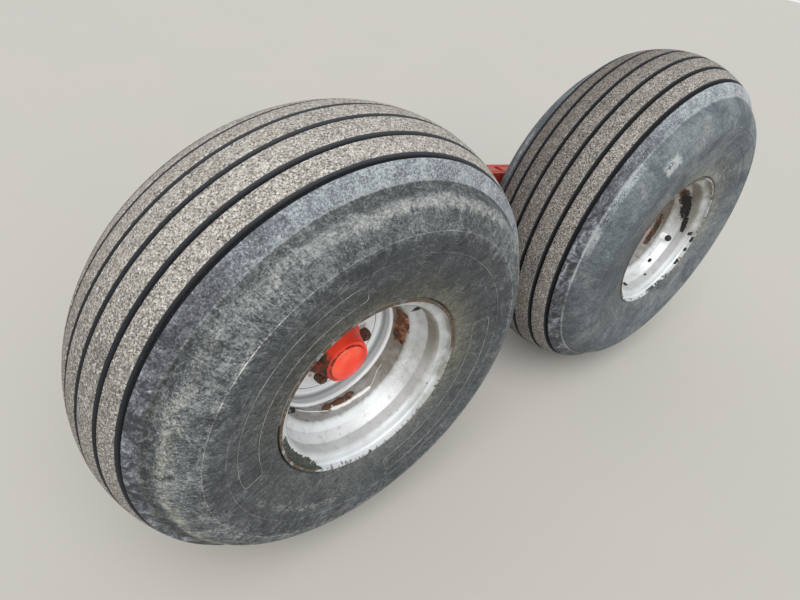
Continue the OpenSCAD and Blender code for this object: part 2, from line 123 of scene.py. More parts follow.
# Stage: floor, camera, sun, and the sky as the camera sees it and as it lights the unit
FLOOR_R, FLOOR_BORDER, FLOOR_GAP = 12, 4.0, 0.0005
CAMERA_AT, CAMERA_TURN = (-1.2207, -1.1114, 0.8806), (51.648, -7.643, -39.313)
CAMERA_LENS, CAMERA_SENSOR = 27.0045, 36
SUN_AT, SUN_FROM = (-2.5, -2.5, 4.0), (-0.38, -0.51, 0.77)
SUN_ENERGY, SUN_SPREAD, SUN_TINT = 2.9, 70, (1.0, 0.985, 0.96)
SKY_SEEN, SKY_LIGHT = ((0.86, 0.87, 0.88), 1.0), ((0.94, 0.975, 1.0), 0.56)


def srgb(red, green, blue):
    """A colour of 0 to 255 a channel, as the shader takes it."""
    def linear(value):
        value /= 255
        return value / 12.92 if value <= 0.04045 else ((value + 0.055) / 1.055) ** 2.4

    return (linear(red), linear(green), linear(blue))


def colour(name, description, red, green, blue):
    return bpy.props.FloatVectorProperty(
        name=name, description=description, subtype="COLOR", size=3, min=0, max=1,
        default=srgb(red, green, blue))


def length(name, description, default):
    return bpy.props.FloatProperty(
        name=name, description=description, default=default, min=0, unit="LENGTH")


class WheelUnitSizes(bpy.types.PropertyGroup):
    weld_r: length("Weld radius", "Radius of the weld beads along the beam", 0.0042)
    ripple: length("Weld ripple", "Distance between the ripples of a weld bead", 0.0048)
    groove_edge: length("Groove edge", "Roundness of the worn edges of the tread's ribs", 0.0008)
    outline_r: length("Raised outline", "Radius of the raised outlines on the sidewalls", 0.0007)
    thread_pitch: length("Thread pitch", "Distance between the threads of a stud", 0.0015)


class WheelUnitColours(bpy.types.PropertyGroup):
    rib_light: colour("Rib dust", "Dry dust on the faces of the ribs", 196, 191, 184)
    rib_mid: colour("Rib grain", "Middle tone between the grains of dust", 160, 155, 149)
    rib_dark: colour("Rib rubber", "Rubber between the dust on the ribs", 82, 80, 77)
    groove: colour("Groove", "Clean rubber down in the grooves", 20, 22, 25)
    shoulder: colour("Shoulder", "Smooth blue grey rubber beside the outer groove", 82, 84, 89)
    shoulder_dust: colour("Shoulder dust", "Pale dust on the top of the shoulder", 152, 158, 162)
    sidewall: colour("Sidewall", "Scuffed blue grey rubber of the sidewall", 96, 101, 103)
    wall_dark: colour("Bare sidewall", "Nearly clean rubber of the sidewall", 71, 75, 77)
    side_dust: colour("Sidewall dust", "Beige dust dried on the sidewall", 163, 162, 153)
    low_wall: colour("Lower sidewall", "Brown grey rubber near the rim", 103, 102, 92)
    silver: colour("Rim paint", "Silver grey paint of the rims", 215, 220, 223)
    # This colour also paints the shade on the right side of the rims.
    grime: colour("Rim grime", "Brown dust that lies in the rim", 124, 122, 110)
    rust: colour("Rust", "Red brown rust", 108, 70, 48)
    dark_rust: colour("Dark rust", "Old dark rust and bare scale", 52, 40, 34)
    bright_red: colour("Cap paint", "Bright red paint of the hub cap", 255, 66, 36)
    hub_red: colour("Hub paint", "Red paint of the hub", 252, 72, 46)
    beam_red: colour("Beam paint", "Red paint of the beam", 196, 34, 22)
    mud: colour("Road dirt", "Dry dirt on the beam and behind the rims", 150, 134, 112)
    floor: colour("Floor", "Pale floor", 186, 183, 178)


def sizes():
    return bpy.context.scene.wheel_unit_sizes


def tints():
    return bpy.context.scene.wheel_unit_colours


# Shader trees


class Finish:
    """One material's shader tree. Each call adds a node and hands back its output."""

    def __init__(self, name, at=(0, 0, 0), seed=0.0):
        self.material = bpy.data.materials.new(name)
        self.material.use_nodes = True
        self.tree = self.material.node_tree
        self.tree.nodes.clear()
        self.seed = seed
        mapping = self.add("ShaderNodeMapping")
        self.link(mapping.inputs["Vector"], self.add("ShaderNodeTexCoord").outputs["Object"])
        mapping.inputs["Location"].default_value = [-c for c in at]
        self.place = mapping.outputs[0]
        self.x, self.y, self.z = self.split(self.place)

    def add(self, kind, **settings):
        node = self.tree.nodes.new(kind)
        for key, value in settings.items():
            setattr(node, key, value)
        return node

    def link(self, socket, value):
        if isinstance(value, bpy.types.NodeSocket):
            self.tree.links.new(value, socket)
        elif socket.type == "RGBA":
            socket.default_value = (*value[:3], 1)
        else:
            socket.default_value = value

    def calc(self, operation, *values):
        node = self.add("ShaderNodeMath", operation=operation)
        for socket, value in zip(node.inputs, values):
            self.link(socket, value)
        return node.outputs[0]

    def apart(self, value, other):
        """How far two values are apart."""
        return self.calc("ABSOLUTE", self.calc("SUBTRACT", value, other))

    def split(self, vector):
        node = self.add("ShaderNodeSeparateXYZ")
        self.link(node.inputs[0], vector)
        return node.outputs[0], node.outputs[1], node.outputs[2]

    def join(self, x, y, z):
        node = self.add("ShaderNodeCombineXYZ")
        for socket, value in zip(node.inputs, (x, y, z)):
            self.link(socket, value)
        return node.outputs[0]

    def shifted(self, seed, place=None):
        """A place to read a pattern at, far from where the other patterns are read."""
        node = self.add("ShaderNodeVectorMath", operation="ADD")
        self.link(node.inputs[0], place or self.place)
        shift = self.seed + seed
        node.inputs[1].default_value = (shift * 1.7, shift * 2.3, shift * 3.1)
        return node.outputs[0]

    def noise(self, scale, detail=4.0, rough=0.6, place=None, bend=0.0, seed=0.0):
        node = self.add("ShaderNodeTexNoise", noise_dimensions="3D")
        self.link(node.inputs["Vector"], self.shifted(seed, place))
        for key, value in (("Scale", scale), ("Detail", detail), ("Roughness", rough), ("Distortion", bend)):
            node.inputs[key].default_value = value
        return node.outputs[0]

    def scatter(self, scale, seed=0.0):
        """Many scattered grains: the distance to the nearest, and three chance numbers of its own."""
        node = self.add("ShaderNodeTexVoronoi", voronoi_dimensions="3D", feature="F1")
        self.link(node.inputs["Vector"], self.shifted(seed))
        node.inputs["Scale"].default_value = scale
        return (node.outputs["Distance"], *self.split(node.outputs["Color"]))

    def specks(self, scale, share, size, seed=0.0):
        """Round specks at a share of many scattered points."""
        near, chance, _, _ = self.scatter(scale, seed)
        return self.both(self.rise(near, size, size * 0.6), self.rise(chance, 1 - share, 1.001 - share))

    def lying(self, turn, long, wide):
        """A place to read noise at, drawn out along one direction in the plane of the wheel."""
        node = self.add("ShaderNodeMapping", vector_type="TEXTURE")
        self.link(node.inputs["Vector"], self.place)
        node.inputs["Rotation"].default_value = (0, math.radians(turn), 0)
        node.inputs["Scale"].default_value = (long, wide, wide)
        return node.outputs[0]

    def hairs(self, turn, long, wide, thin=0.03, seed=0.0, bend=0.8, drift=None):
        """Fine scratches that mostly lie one way, and lie there only in drifts."""
        drawn = self.noise(1, 3, 0.6, place=self.lying(turn, long, wide), bend=bend, seed=seed)
        line = self.rise(self.apart(drawn, 0.5), thin, thin * 0.25)
        if drift is None:
            drift = self.rise(self.noise(24, 3, 0.6, seed=seed + 0.5), 0.5, 0.62)
        return self.both(line, drift)

    def rise(self, value, low, high, to_low=0.0, to_high=1.0):
        """A smooth rise from to_low at low to to_high at high."""
        node = self.add("ShaderNodeMapRange", interpolation_type="SMOOTHSTEP")
        for socket, part in zip(node.inputs, (value, low, high, to_low, to_high)):
            self.link(socket, part)
        return node.outputs[0]

    def band(self, value, low, high, soft):
        """1 between low and high, fading to 0 over soft outside them."""
        return self.both(self.rise(value, low - soft, low), self.rise(value, high, high + soft, 1, 0))

    def both(self, *masks):
        result = masks[0]
        for mask in masks[1:]:
            result = self.calc("MULTIPLY", result, mask)
        return result

    def most(self, *masks):
        result = masks[0]
        for mask in masks[1:]:
            result = self.calc("MAXIMUM", result, mask)
        return result

    def total(self, *parts):
        """A sum of (value, weight) pairs."""
        result = 0.0
        for value, weight in parts:
            result = self.calc("MULTIPLY_ADD", value, weight, result)
        return result

    def swing(self, value):
        """How far a value is above or below a half."""
        return self.total((value, 1), (-0.5, 1))

    def mix(self, share, low, high):
        node = self.add("ShaderNodeMix", data_type="RGBA")
        self.link(node.inputs["Factor"], share)
        ends = [socket for socket in node.inputs if socket.type == "RGBA"]
        self.link(ends[0], low)
        self.link(ends[1], high)
        return [socket for socket in node.outputs if socket.type == "RGBA"][0]

    def coats(self, base, *layers):
        """Lays (share, colour) layers over a base, the last on top."""
        for share, tint in layers:
            base = self.mix(share, base, tint)
        return base

    def ramp(self, value, *stops):
        """A colour read off a row of (place, colour) stops."""
        node = self.add("ShaderNodeValToRGB")
        self.link(node.inputs[0], value)
        steps = node.color_ramp.elements
        steps.remove(steps[1])
        steps[0].position, steps[0].color = stops[0][0], (*stops[0][1][:3], 1)
        for place, tint in stops[1:]:
            steps.new(place).color = (*tint[:3], 1)
        return node.outputs["Color"]

    def blend(self, share, low, high):
        """A number between low and high."""
        return self.calc("MULTIPLY_ADD", share, self.calc("SUBTRACT", high, low), low)

    def finish(self, base, rough, bump=None, strength=0.5, distance=0.001, metal=0.0, specular=0.5):
        shader = self.add("ShaderNodeBsdfPrincipled")
        self.link(shader.inputs["Base Color"], base)
        self.link(shader.inputs["Roughness"], rough)
        self.link(shader.inputs["Metallic"], metal)
        shader.inputs["Specular IOR Level"].default_value = specular
        if bump is not None:
            node = self.add("ShaderNodeBump")
            node.inputs["Strength"].default_value = strength
            node.inputs["Distance"].default_value = distance
            self.link(node.inputs["Height"], bump)
            self.link(shader.inputs["Normal"], node.outputs[0])
        output = self.add("ShaderNodeOutputMaterial")
        self.link(output.inputs["Surface"], shader.outputs[0])
        return self.material


class TurnedFinish(Finish):
    """A finish that knows the radius, and the angle in degrees, about the axle through its place."""

    def __init__(self, name, at=(0, 0, 0), seed=0.0):
        super().__init__(name, at, seed)
        square = self.calc("MULTIPLY_ADD", self.x, self.x, self.calc("MULTIPLY", self.z, self.z))
        self.radius = self.calc("SQRT", square)
        self.angle = self.calc("DEGREES", self.calc("ARCTAN2", self.z, self.x))

    def from_angle(self, at):
        """How far round the axle an angle is, -180 to 180."""
        return self.calc("WRAP", self.calc("SUBTRACT", self.angle, at), 180, -180)

    def sector(self, at, half, soft):
        """1 within half of an angle round the axle, fading out over soft."""
        return self.rise(self.calc("ABSOLUTE", self.from_angle(at)), half + soft, half)

    def ring(self, low, high, soft):
        """1 between two radii, fading out over soft."""
        return self.band(self.radius, low, high, soft)

    def along(self, across, out, inwards=0.0):
        """A place to read noise at, stretched along the radius, without a seam."""
        return self.join(
            self.calc("MULTIPLY", self.calc("DIVIDE", self.x, self.radius), across),
            self.calc("MULTIPLY", self.calc("DIVIDE", self.z, self.radius), across),
            self.calc("MULTIPLY_ADD", self.radius, out, self.calc("MULTIPLY", self.y, inwards)))

    def patch(self, at, half, mid, reach, lean=0.0, ragged=0.4, scale=90.0, seed=3.0):
        """A torn patch round a place given as an angle and a distance along the axle."""
        turn = self.from_angle(at)
        drift = self.calc("SUBTRACT", self.calc("SUBTRACT", self.y, mid), self.calc("MULTIPLY", turn, lean))
        fourths = [self.calc("POWER", self.calc("ABSOLUTE", self.calc("DIVIDE", away, size)), 4)
                   for away, size in ((turn, half), (drift, reach))]
        far = self.calc("POWER", self.calc("ADD", *fourths), 0.25)
        torn = self.total((self.noise(scale, 5, 0.68, seed=seed), ragged * 2), (far, 1))
        return self.rise(torn, 1 + ragged * 1.02, 1 + ragged * 0.98)


class WheelFinish(TurnedFinish):
    """A finish on one of the two wheels, which have worn in their own ways."""

    def __init__(self, side, what, seed):
        super().__init__(f"{side}_{what}", WHEEL_AT[side], seed)
        self.front = side == "front"

    def own(self, front, rear):
        """This wheel's value of two."""
        return front if self.front else rear


# Rubber of the tyres


def tyre_patterns(side, seed):
    """A finish with the places and noises that the parts of one tyre share."""
    f = WheelFinish(side, "tyre_rubber", seed)
    f.across = f.calc("ABSOLUTE", f.y)
    fall = f.calc("SQRT", f.calc("SUBTRACT", CROWN_R ** 2, f.calc("MULTIPLY", f.across, f.across)))
    f.deep = f.calc("SUBTRACT", f.calc("ADD", fall, TYRE_R - CROWN_R), f.radius)
    f.climb = f.calc("DEGREES", f.calc("ARCTAN2", f.calc("SUBTRACT", f.radius, BULGE_R),
                                       f.calc("SUBTRACT", f.across, SIDEWALL_C)))
    f.on_top = f.sector(62, 40, 45)
    f.on_left = f.sector(190, 30, 28)
    f.broad = f.noise(8.5, 3, 0.55, bend=0.5, seed=11)
    f.mottle = f.noise(34, 5, 0.72, bend=0.9, seed=10)
    f.grit = f.noise(240, 2, 0.8)
    # Rubbed strokes that lie one way, and strokes along the radius
    f.fur = f.noise(1, 5, 0.76, place=f.lying(38, 0.02, 0.0075), bend=1.6, seed=12)
    f.comb = f.noise(1, 4, 0.7, place=f.along(70, 18), bend=0.5, seed=13)
    f.torn = f.total((f.mottle, 0.5), (f.fur, 0.5))
    f.drift = f.rise(f.broad, 0.5, 0.62)
    f.wavy = f.total((f.broad, 1.2), (-0.6, 1))
    return f


def dusty_ribs(f, c):
    """Fine grains of dust, white, grey and dark, with a few dark pits between them."""
    _, chance, pink, _ = f.scatter(520, 1)
    _, coarse, pale, dark = f.scatter(330, 2)
    # The tone is lighter at the top of the wheel and darker on its left side. On the rear tyre the ribs are
    # painted darker overall, and more so towards the inner half: painted shade.
    tone = f.total((chance, 0.37), (coarse, 0.3), (f.grit, 0.5), (f.mottle, 0.1), (f.broad, 0.34),
                   (f.on_top, 0.045), (f.on_left, f.own(-0.105, -0.03)),
                   (f.rise(f.y, -0.16, 0.08), f.own(0.0, -0.1)), (f.own(-0.3, -0.36), 1))
    inwards = f.rise(f.y, -0.1, 0.12, 0.08, f.own(0.4, 0.7))
    cuts = f.hairs(20, 0.02, 0.004, 0.05, seed=6, bend=0.3, drift=f.blend(f.drift, 0.45, 1.0))
    if not f.front:
        cuts = f.most(cuts, f.specks(85, 0.3, 0.26, 7))
    rib = f.coats(
        f.ramp(tone, (0.14, c.rib_dark), (0.34, srgb(118, 114, 109)), (0.5, c.rib_mid), (0.68, c.rib_light),
               (0.9, srgb(232, 229, 222))),
        (f.both(f.rise(pink, 0.45, 0.7), inwards), f.own(srgb(160, 146, 132), srgb(112, 96, 88))),
        (f.rise(pale, 0.94, 0.98, 0, f.own(0.6, 0.3)), srgb(232, 229, 221)),
        (f.rise(dark, f.own(0.92, 0.88), 0.98, 0, 0.7), srgb(58, 57, 55)),
        (f.both(cuts, f.own(0.6, 1.0)), f.own(srgb(60, 58, 56), srgb(46, 45, 46))))
    return rib, f.total((chance, 0.5), (coarse, 0.5))


def shoulder_rubber(f, c):
    """Smooth rubber between the outer groove and the low ridge, dusty at the top of the wheel."""
    speckle = f.total((f.grit, f.blend(f.on_left, 0.5, 0.24)), (f.mottle, f.blend(f.on_left, 0.36, 0.62)),
                      (f.broad, 0.14))
    tone = f.total((f.swing(speckle), f.blend(f.on_left, 1.35, 2.3)), (f.on_top, f.own(0.17, 0.2)),
                   (f.on_left, -0.02), (f.own(0.442, 0.45), 1))
    return f.coats(
        f.ramp(tone, (0.32, srgb(52, 54, 58)), (0.44, c.shoulder), (0.55, srgb(110, 115, 121)),
               (0.66, c.shoulder_dust), (0.8, srgb(188, 192, 194))),
        (f.both(f.specks(150, 0.14, 0.2, 8), f.blend(f.on_left, 1, 0.35)), srgb(176, 179, 180)),
        (f.specks(26, 0.1, 0.1, 9), srgb(222, 226, 230)))


def sidewall_rubber(f, c):
    """One grain of tones, paler where dust clings under the ridge, with painted shade right below the ridge."""
    wisp = f.noise(1, 4, 0.7, place=f.lying(-24, 0.05, 0.014), bend=1.1, seed=24)
    level = f.total((f.climb, 1), (f.total((f.mottle, 0.6), (f.broad, 0.4), (-0.5, 1)), f.own(42, 24)))
    level = f.total((level, 1), (f.on_top, 5.0))
    dust = f.both(f.band(level, 45, 50, f.own(8, 14)),
                  f.rise(f.total((f.broad, 0.5), (wisp, 0.5)), 0.4, 0.58, 0.2, 1),
                  f.most(f.both(f.on_top, 0.95), f.sector(206, 44, 24), f.own(0.35, 0.4)))
    low = f.rise(f.climb, 13, 2)
    near_rim = f.rise(f.radius, 0.30, 0.236)
    grain = f.total((f.fur, 0.4), (f.grit, 0.22), (f.mottle, 0.2), (f.comb, 0.18))
    if f.front:
        # Painted shade: a dark band right below the ridge.
        shade = f.both(f.rise(level, 53, 59), f.rise(wisp, 0.3, 0.6, 0.5, 1))
        calm = f.both(f.rise(f.climb, 14, -4, 1.0, 0.42), f.blend(f.sector(190, 50, 40), 1.15, 1.6))
        calm = f.total((f.swing(grain), calm), (0.5, 1))
        tone = f.total((calm, 1), (dust, 0.095), (f.both(dust, f.on_top), 0.04),
                       (shade, f.blend(f.on_top, -0.075, -0.045)), (f.rise(wisp, 0.5, 0.36), -0.045),
                       (low, f.blend(f.on_top, -0.046, -0.064)), (near_rim, f.blend(f.on_top, 0.015, 0.045)),
                       (f.both(near_rim, f.sector(-40, 50, 40)), 0.025),
                       (f.both(near_rim, f.sector(140, 65, 30)), -0.02), (-0.002, 1))
        dust_warmth = f.blend(f.on_top, 0.75, 0.1)
    else:
        tone = f.total((grain, 0.85), (f.broad, 0.5), (wisp, 0.3), (f.on_left, -0.07), (low, -0.012),
                       (f.both(f.sector(40, 30, 30), near_rim), 0.06), (-0.315, 1))
        dust_warmth = 0.15
    cool = f.ramp(tone, (0.36, srgb(47, 49, 51)), (0.44, c.wall_dark), (0.5, c.sidewall),
                  (0.56, srgb(123, 127, 128)), (0.65, srgb(158, 161, 158)), (0.76, srgb(190, 191, 186)))
    warm = f.ramp(tone, (0.36, srgb(51, 51, 48)), (0.44, srgb(76, 76, 71)), (0.5, c.low_wall),
                  (0.56, srgb(130, 129, 121)), (0.65, c.side_dust), (0.76, srgb(198, 195, 184)))
    by_rim = f.both(f.rise(f.radius, 0.33, 0.25), f.blend(f.sector(75, 70, 45), 0.3, 0.9))
    wall = f.mix(f.most(f.both(dust, dust_warmth), by_rim), cool, warm)
    if not f.front:
        wall = f.mix(0.3, wall, srgb(108, 119, 128))
    crumbly = f.both(f.rise(f.radius, 0.249, 0.233), f.sector(50, 85, 40),
                     f.rise(f.total((f.mottle, 0.5), (f.grit, 0.5)), 0.46, 0.56))
    return f.mix(f.both(crumbly, 0.6), wall, srgb(134, 126, 102)), tone


def scuffed_wall(f, wall):
    """The sidewall with a low scuffed arc, scratches, and dust or bare rubber on its raised lines."""
    if f.front:
        arc_dust = f.both(f.sector(-127, 20, 8), f.rise(f.apart(f.radius, 0.321), 0.011, 0.004),
                          f.rise(f.total((f.fur, 0.6), (f.mottle, 0.4)), 0.47, 0.58), 0.7)
        wall = f.mix(arc_dust, wall, srgb(136, 138, 133))
    dark_hairs = f.most(f.hairs(60, 0.05, 0.008, 0.035, 15, drift=f.drift),
                        f.hairs(-35, 0.04, 0.008, 0.035, 16, drift=f.drift))
    light_hairs = f.most(f.hairs(25, 0.05, 0.007, 0.03, 17),
                         f.hairs(120, 0.05, 0.007, 0.03, 18, drift=f.rise(f.mottle, 0.48, 0.6)))
    scratched = f.rise(f.climb, -30, 12, 0.65, f.own(1.0, 0.6))
    off_line = f.apart(f.calc("ADD", f.climb, f.wavy), UPPER_LINE_T)
    lower = f.band(f.climb, LOWER_LINE_T - 0.3, LOWER_LINE_T + 0.3, 0.2)
    line = f.most(f.rise(off_line, 0.6, 0.3), f.both(lower, 0.6))
    worn = f.rise(f.total((f.mottle, 0.6), (f.comb, 0.4)), 0.42, 0.58, 0.12, 0.75)
    wall = f.coats(wall, (f.both(dark_hairs, scratched, 0.62), srgb(48, 52, 56)),
                   (f.both(light_hairs, scratched, 0.45), srgb(162, 166, 164)),
                   (f.both(line, worn), f.own(srgb(158, 160, 156), srgb(60, 62, 64))))
    if f.front:
        on_line = f.both(f.rise(off_line, 0.7, 0.2), f.rise(f.comb, 0.4, 0.52, 0.1, 0.95))
        beside = f.both(f.rise(off_line, 4.5, 1.0), f.rise(f.fur, 0.5, 0.62), 0.5)
        rubbed = f.both(f.sector(140, 9, 8), f.most(on_line, beside), f.rise(f.mottle, 0.4, 0.55))
        wall = f.mix(rubbed, wall, srgb(214, 215, 210))
    else:
        rubbed = f.both(f.sector(127, 3.2, 2.0), f.rise(f.apart(f.climb, 25), 13, 6),
                        f.rise(f.total((f.fur, 0.5), (f.mottle, 0.5)), 0.45, 0.53))
        scribble = f.both(f.hairs(70, 0.03, 0.006, 0.045, 25, drift=1.0), f.sector(62, 16, 6),
                          f.ring(0.262, 0.3, 0.01))
        wall = f.coats(wall, (f.both(rubbed, 0.75), srgb(180, 184, 185)),
                       (f.both(scribble, 0.8), srgb(44, 45, 46)))
    return wall, dark_hairs, light_hairs


def with_ridge(f, wall, shoulder):
    """The sidewall below the low ridge, the shoulder above it, the wear along it, and painted light in patches
    below it on the front tyre's left.
    """
    edge_at = f.total((f.climb, 1), (f.wavy, 1), (f.on_left, f.own(-4.5, 0.0)))
    edge_at = f.total((edge_at, 1), (f.swing(f.mottle), f.both(f.on_left, f.own(9.0, 0.0))))
    skin = f.mix(f.rise(edge_at, RIDGE_T - 1.0, RIDGE_T - 0.3), wall, shoulder)
    if f.front:
        ridge = f.both(f.band(edge_at, RIDGE_T - 1.2, RIDGE_T + 0.3, 0.6), f.rise(f.comb, 0.42, 0.62, 0.1, 0.7),
                       f.blend(f.on_left, 1, 0.2))
        torn = f.both(f.band(edge_at, RIDGE_T - 4.5, RIDGE_T + 0.4, 1.4), f.on_left, f.rise(f.torn, 0.475, 0.505))
        # Painted light: paler patches just below the ridge on the front tyre's left, lifting the shade that the
        # ridge's own shape gives there.
        painted_light_patches = f.both(f.band(edge_at, RIDGE_T - 5, RIDGE_T + 0.5, 2), f.on_left, f.rise(f.torn, 0.5, 0.54))
        return f.coats(skin, (ridge, srgb(156, 160, 160)), (f.both(torn, 0.95), srgb(38, 39, 42)),
                       (f.both(painted_light_patches, 0.6), srgb(130, 131, 127)))
    ridge = f.both(f.band(edge_at, RIDGE_T - 1.8, RIDGE_T + 0.2, 1.2),
                   f.rise(f.total((f.comb, 0.5), (f.broad, 0.5)), 0.42, 0.58, 0.1, 0.8))
    haze = f.both(f.band(edge_at, RIDGE_T - 9, RIDGE_T, 4),
                  f.rise(f.total((f.fur, 0.6), (f.broad, 0.4)), 0.47, 0.58, 0, 0.85), f.sector(150, 10, 14))
    return f.mix(f.most(ridge, haze), skin, srgb(176, 182, 184))


def tyre_rubber(side, seed):
    """Dusty grey ribs over clean grooves, a blue grey shoulder and a scuffed, mottled sidewall."""
    f, c = tyre_patterns(side, seed), tints()
    rib, rib_grain = dusty_ribs(f, c)
    wall, wall_tone = sidewall_rubber(f, c)
    wall, dark_hairs, light_hairs = scuffed_wall(f, wall)
    skin = with_ridge(f, wall, shoulder_rubber(f, c))
    ribbed = f.rise(f.across, GROOVES[2] + 0.002, GROOVES[2] - 0.002)
    on_tread = f.rise(f.across, 0.144, 0.1425)
    # Down in a groove its walls catch some light, and its bottom is dark with a little grit
    wall_light = f.mix(f.on_top, srgb(46, 49, 54), f.own(srgb(68, 71, 76), srgb(50, 52, 56)))
    bottom = f.ramp(f.calc("MULTIPLY", f.deep, 100), (0.3, srgb(255, 255, 255)), (0.8, srgb(0, 0, 0)))
    groove = f.coats(f.mix(bottom, c.groove, wall_light), (f.rise(f.grit, 0.56, 0.8, 0, 0.4), srgb(98, 97, 94)))
    skin = f.coats(skin, (ribbed, rib), (f.both(on_tread, f.rise(f.deep, 0.0005, 0.0014)), groove),
                   (f.both(f.rise(f.deep, 0.018, 0.022), on_tread), srgb(34, 34, 35)))
    rough = f.blend(ribbed, f.rise(f.mottle, 0.35, 0.65, 0.66, 0.84), 0.94)
    height = f.total((wall_tone, 0.6), (f.both(rib_grain, ribbed), 1.0), (f.fur, 0.8), (dark_hairs, -0.3),
                     (light_hairs, 0.2))
    return f.finish(skin, rough, height, 0.7, 0.0012, specular=0.25)


def outline_rubber(name, at, seed=0.0, lift=1.0):
    """The rubber of a raised outline, paler where it is rubbed."""
    f = Finish(name, at, seed)
    patchy = f.noise(40, 5, 0.65)
    fine = f.noise(260, 3, 0.7, seed=1)
    tones = [(place, srgb(*(lift * part for part in tint)))
             for place, tint in ((0.36, (88, 90, 89)), (0.5, (124, 125, 121)), (0.64, (164, 163, 155)))]
    base = f.ramp(f.total((patchy, 0.7), (fine, 0.3)), *tones)
    return f.finish(base, f.rise(patchy, 0.4, 0.7, 0.65, 0.85), fine, 0.4, 0.0004, specular=0.32)


def black_rubber(name, at=(0, 0, 0), seed=0.0):
    """Moulded black rubber with dust in its corners."""
    f = Finish(name, at, seed)
    patchy = f.noise(90, 6, 0.68)
    fine = f.noise(400, 3, 0.7, seed=1)
    base = f.coats(srgb(30, 30, 31), (f.rise(patchy, 0.45, 0.7), srgb(78, 74, 68)),
                   (f.specks(260, 0.1, 0.2, 2), srgb(130, 122, 108)))
    rough = f.rise(patchy, 0.4, 0.7, 0.5, 0.85)
    return f.finish(base, rough, f.total((fine, 0.6), (patchy, 1)), 0.4, 0.0005, specular=0.35)


# Paint of the rims


def rim_dirt_and_shade(f, c, noises):
    """The silver paint with its dust in the well, on the bead seat and on the inner half, and painted shade on the
    lip and on the right side of the rim.
    """
    cloud, fine, ragged, smudge = noises
    lower = f.sector(-100, 65, 45)
    right = f.sector(f.own(8, 42), 42, 34)
    in_well = f.both(f.band(f.y, -0.101, 0.02, 0.012), f.ring(0.1655, 0.18, 0.003))
    on_seat = f.both(f.rise(f.y, -0.139, -0.148), f.rise(f.y, -0.184, -0.178), f.rise(f.radius, 0.193, 0.197))
    on_lip = f.both(f.rise(f.y, -0.181, -0.186), f.sector(48, 62, 26))
    streaky = f.rise(f.total((smudge, 0.5), (cloud, 0.25), (ragged, 0.25)), 0.36, 0.58, 0.3, 1.0)
    # The places mix real dust, in the well and on the seat, with painted shade on the lip and on the right side;
    # the grime colour paints that shade on the right.
    places = f.most(f.both(in_well, f.blend(lower, 1.0, 0.75)), f.both(on_seat, f.blend(lower, 0.95, 0.25)),
                    f.both(on_lip, f.own(0.85, 0.3)), f.both(right, f.own(0.5, 0.8)))
    dirt = f.both(places, f.blend(f.most(in_well, on_seat), streaky, f.rise(streaky, 0.0, 1.0, 0.7, 1.0)))
    dirt_and_shade_colour = f.mix(f.rise(ragged, 0.45, 0.65, 0, 0.5), f.mix(right, srgb(134, 137, 134), c.grime),
                        srgb(104, 102, 91))
    base = f.coats(
        f.mix(f.rise(cloud, 0.35, 0.7), c.silver, srgb(204, 209, 211)),
        (f.rise(fine, 0.56, 0.8, 0, 0.35), srgb(166, 167, 162)),
        (f.specks(70, 0.12, 0.14, 2), srgb(122, 106, 88)),
        (f.specks(190, 0.1, 0.2, 12), srgb(240, 242, 242)),
        (dirt, dirt_and_shade_colour),
        (f.both(in_well, f.rise(ragged, 0.5, 0.68, 0, 0.55)), srgb(104, 90, 72)),
        (f.both(in_well, right, f.rise(cloud, 0.35, 0.6, 0.15, 0.5)), srgb(108, 102, 84)))
    if f.front:
        # A painted highlight: the lower slope of the front rim's well is painted whiter where it faces up.
        slope_highlight = f.both(f.band(f.y, -0.146, -0.108, 0.003), f.sector(-100, 45, 25), 0.16)
        base = f.mix(slope_highlight, base, srgb(250, 253, 255))
    streaks = f.noise(1, 5, 0.7, place=f.along(9, 6, 60), seed=5)
    stain = f.both(f.band(f.y, -0.17, -0.06, 0.02), f.rise(streaks, 0.52, 0.7))
    inner_half = f.both(f.rise(f.y, 0.0, 0.03), f.rise(cloud, 0.35, 0.65, 0.35, 0.8))
    return f.coats(base, (inner_half, c.mud), (f.both(stain, 0.35), srgb(138, 122, 102))), dirt


def disc_dirt_and_painted_light(f, base, noises):
    """Painted light and shade on the disc: a lit flat round the bolts, a painted shadow at the step round them, a
    shaded flange wall with a darker band, a bright bend and end, and dirt near the hub.
    """
    cloud, fine, ragged, _ = noises
    on_disc = f.both(f.rise(f.y, -0.058, -0.054), f.rise(f.radius, 0.1665, 0.1645))
    flat = f.mix(f.rise(fine, 0.5, 0.75, 0, 0.4), srgb(250, 253, 255), srgb(206, 210, 210))
    flange = f.both(f.rise(f.radius, 0.154, 0.158), f.rise(f.y, -0.049, -0.047))
    under = f.both(f.rise(f.radius, 0.156, 0.159), f.band(f.y, -0.033, -0.027, 0.003))
    bend = f.both(f.ring(0.1475, 0.1525, 0.0015), f.rise(f.y, -0.026, -0.024))
    lit_end = f.both(f.rise(f.radius, 0.1585, 0.160), f.rise(f.y, -0.0485, -0.0505))
    step = f.both(f.ring(0.1366, 0.1408, 0.0012), f.rise(cloud, 0.3, 0.5, 0.7, 1))
    # All in the one paint: the paler flat and the bright bend and end are painted light; the flange wall, the band
    # on it and the dark step are painted shade; only the brown near the hub is dirt.
    return f.coats(
        base, (f.both(on_disc, 0.9), flat), (f.both(on_disc, flange, 0.75), srgb(172, 180, 184)),
        (f.both(on_disc, under, 0.6), srgb(122, 128, 130)),
        (f.both(on_disc, f.most(bend, lit_end), 0.8), srgb(240, 244, 246)),
        (f.both(on_disc, step, 0.85), srgb(70, 70, 67)),
        (f.both(on_disc, f.rise(f.radius, 0.12, 0.1), f.rise(ragged, 0.5, 0.62, 0, 0.7)), srgb(120, 106, 90)))


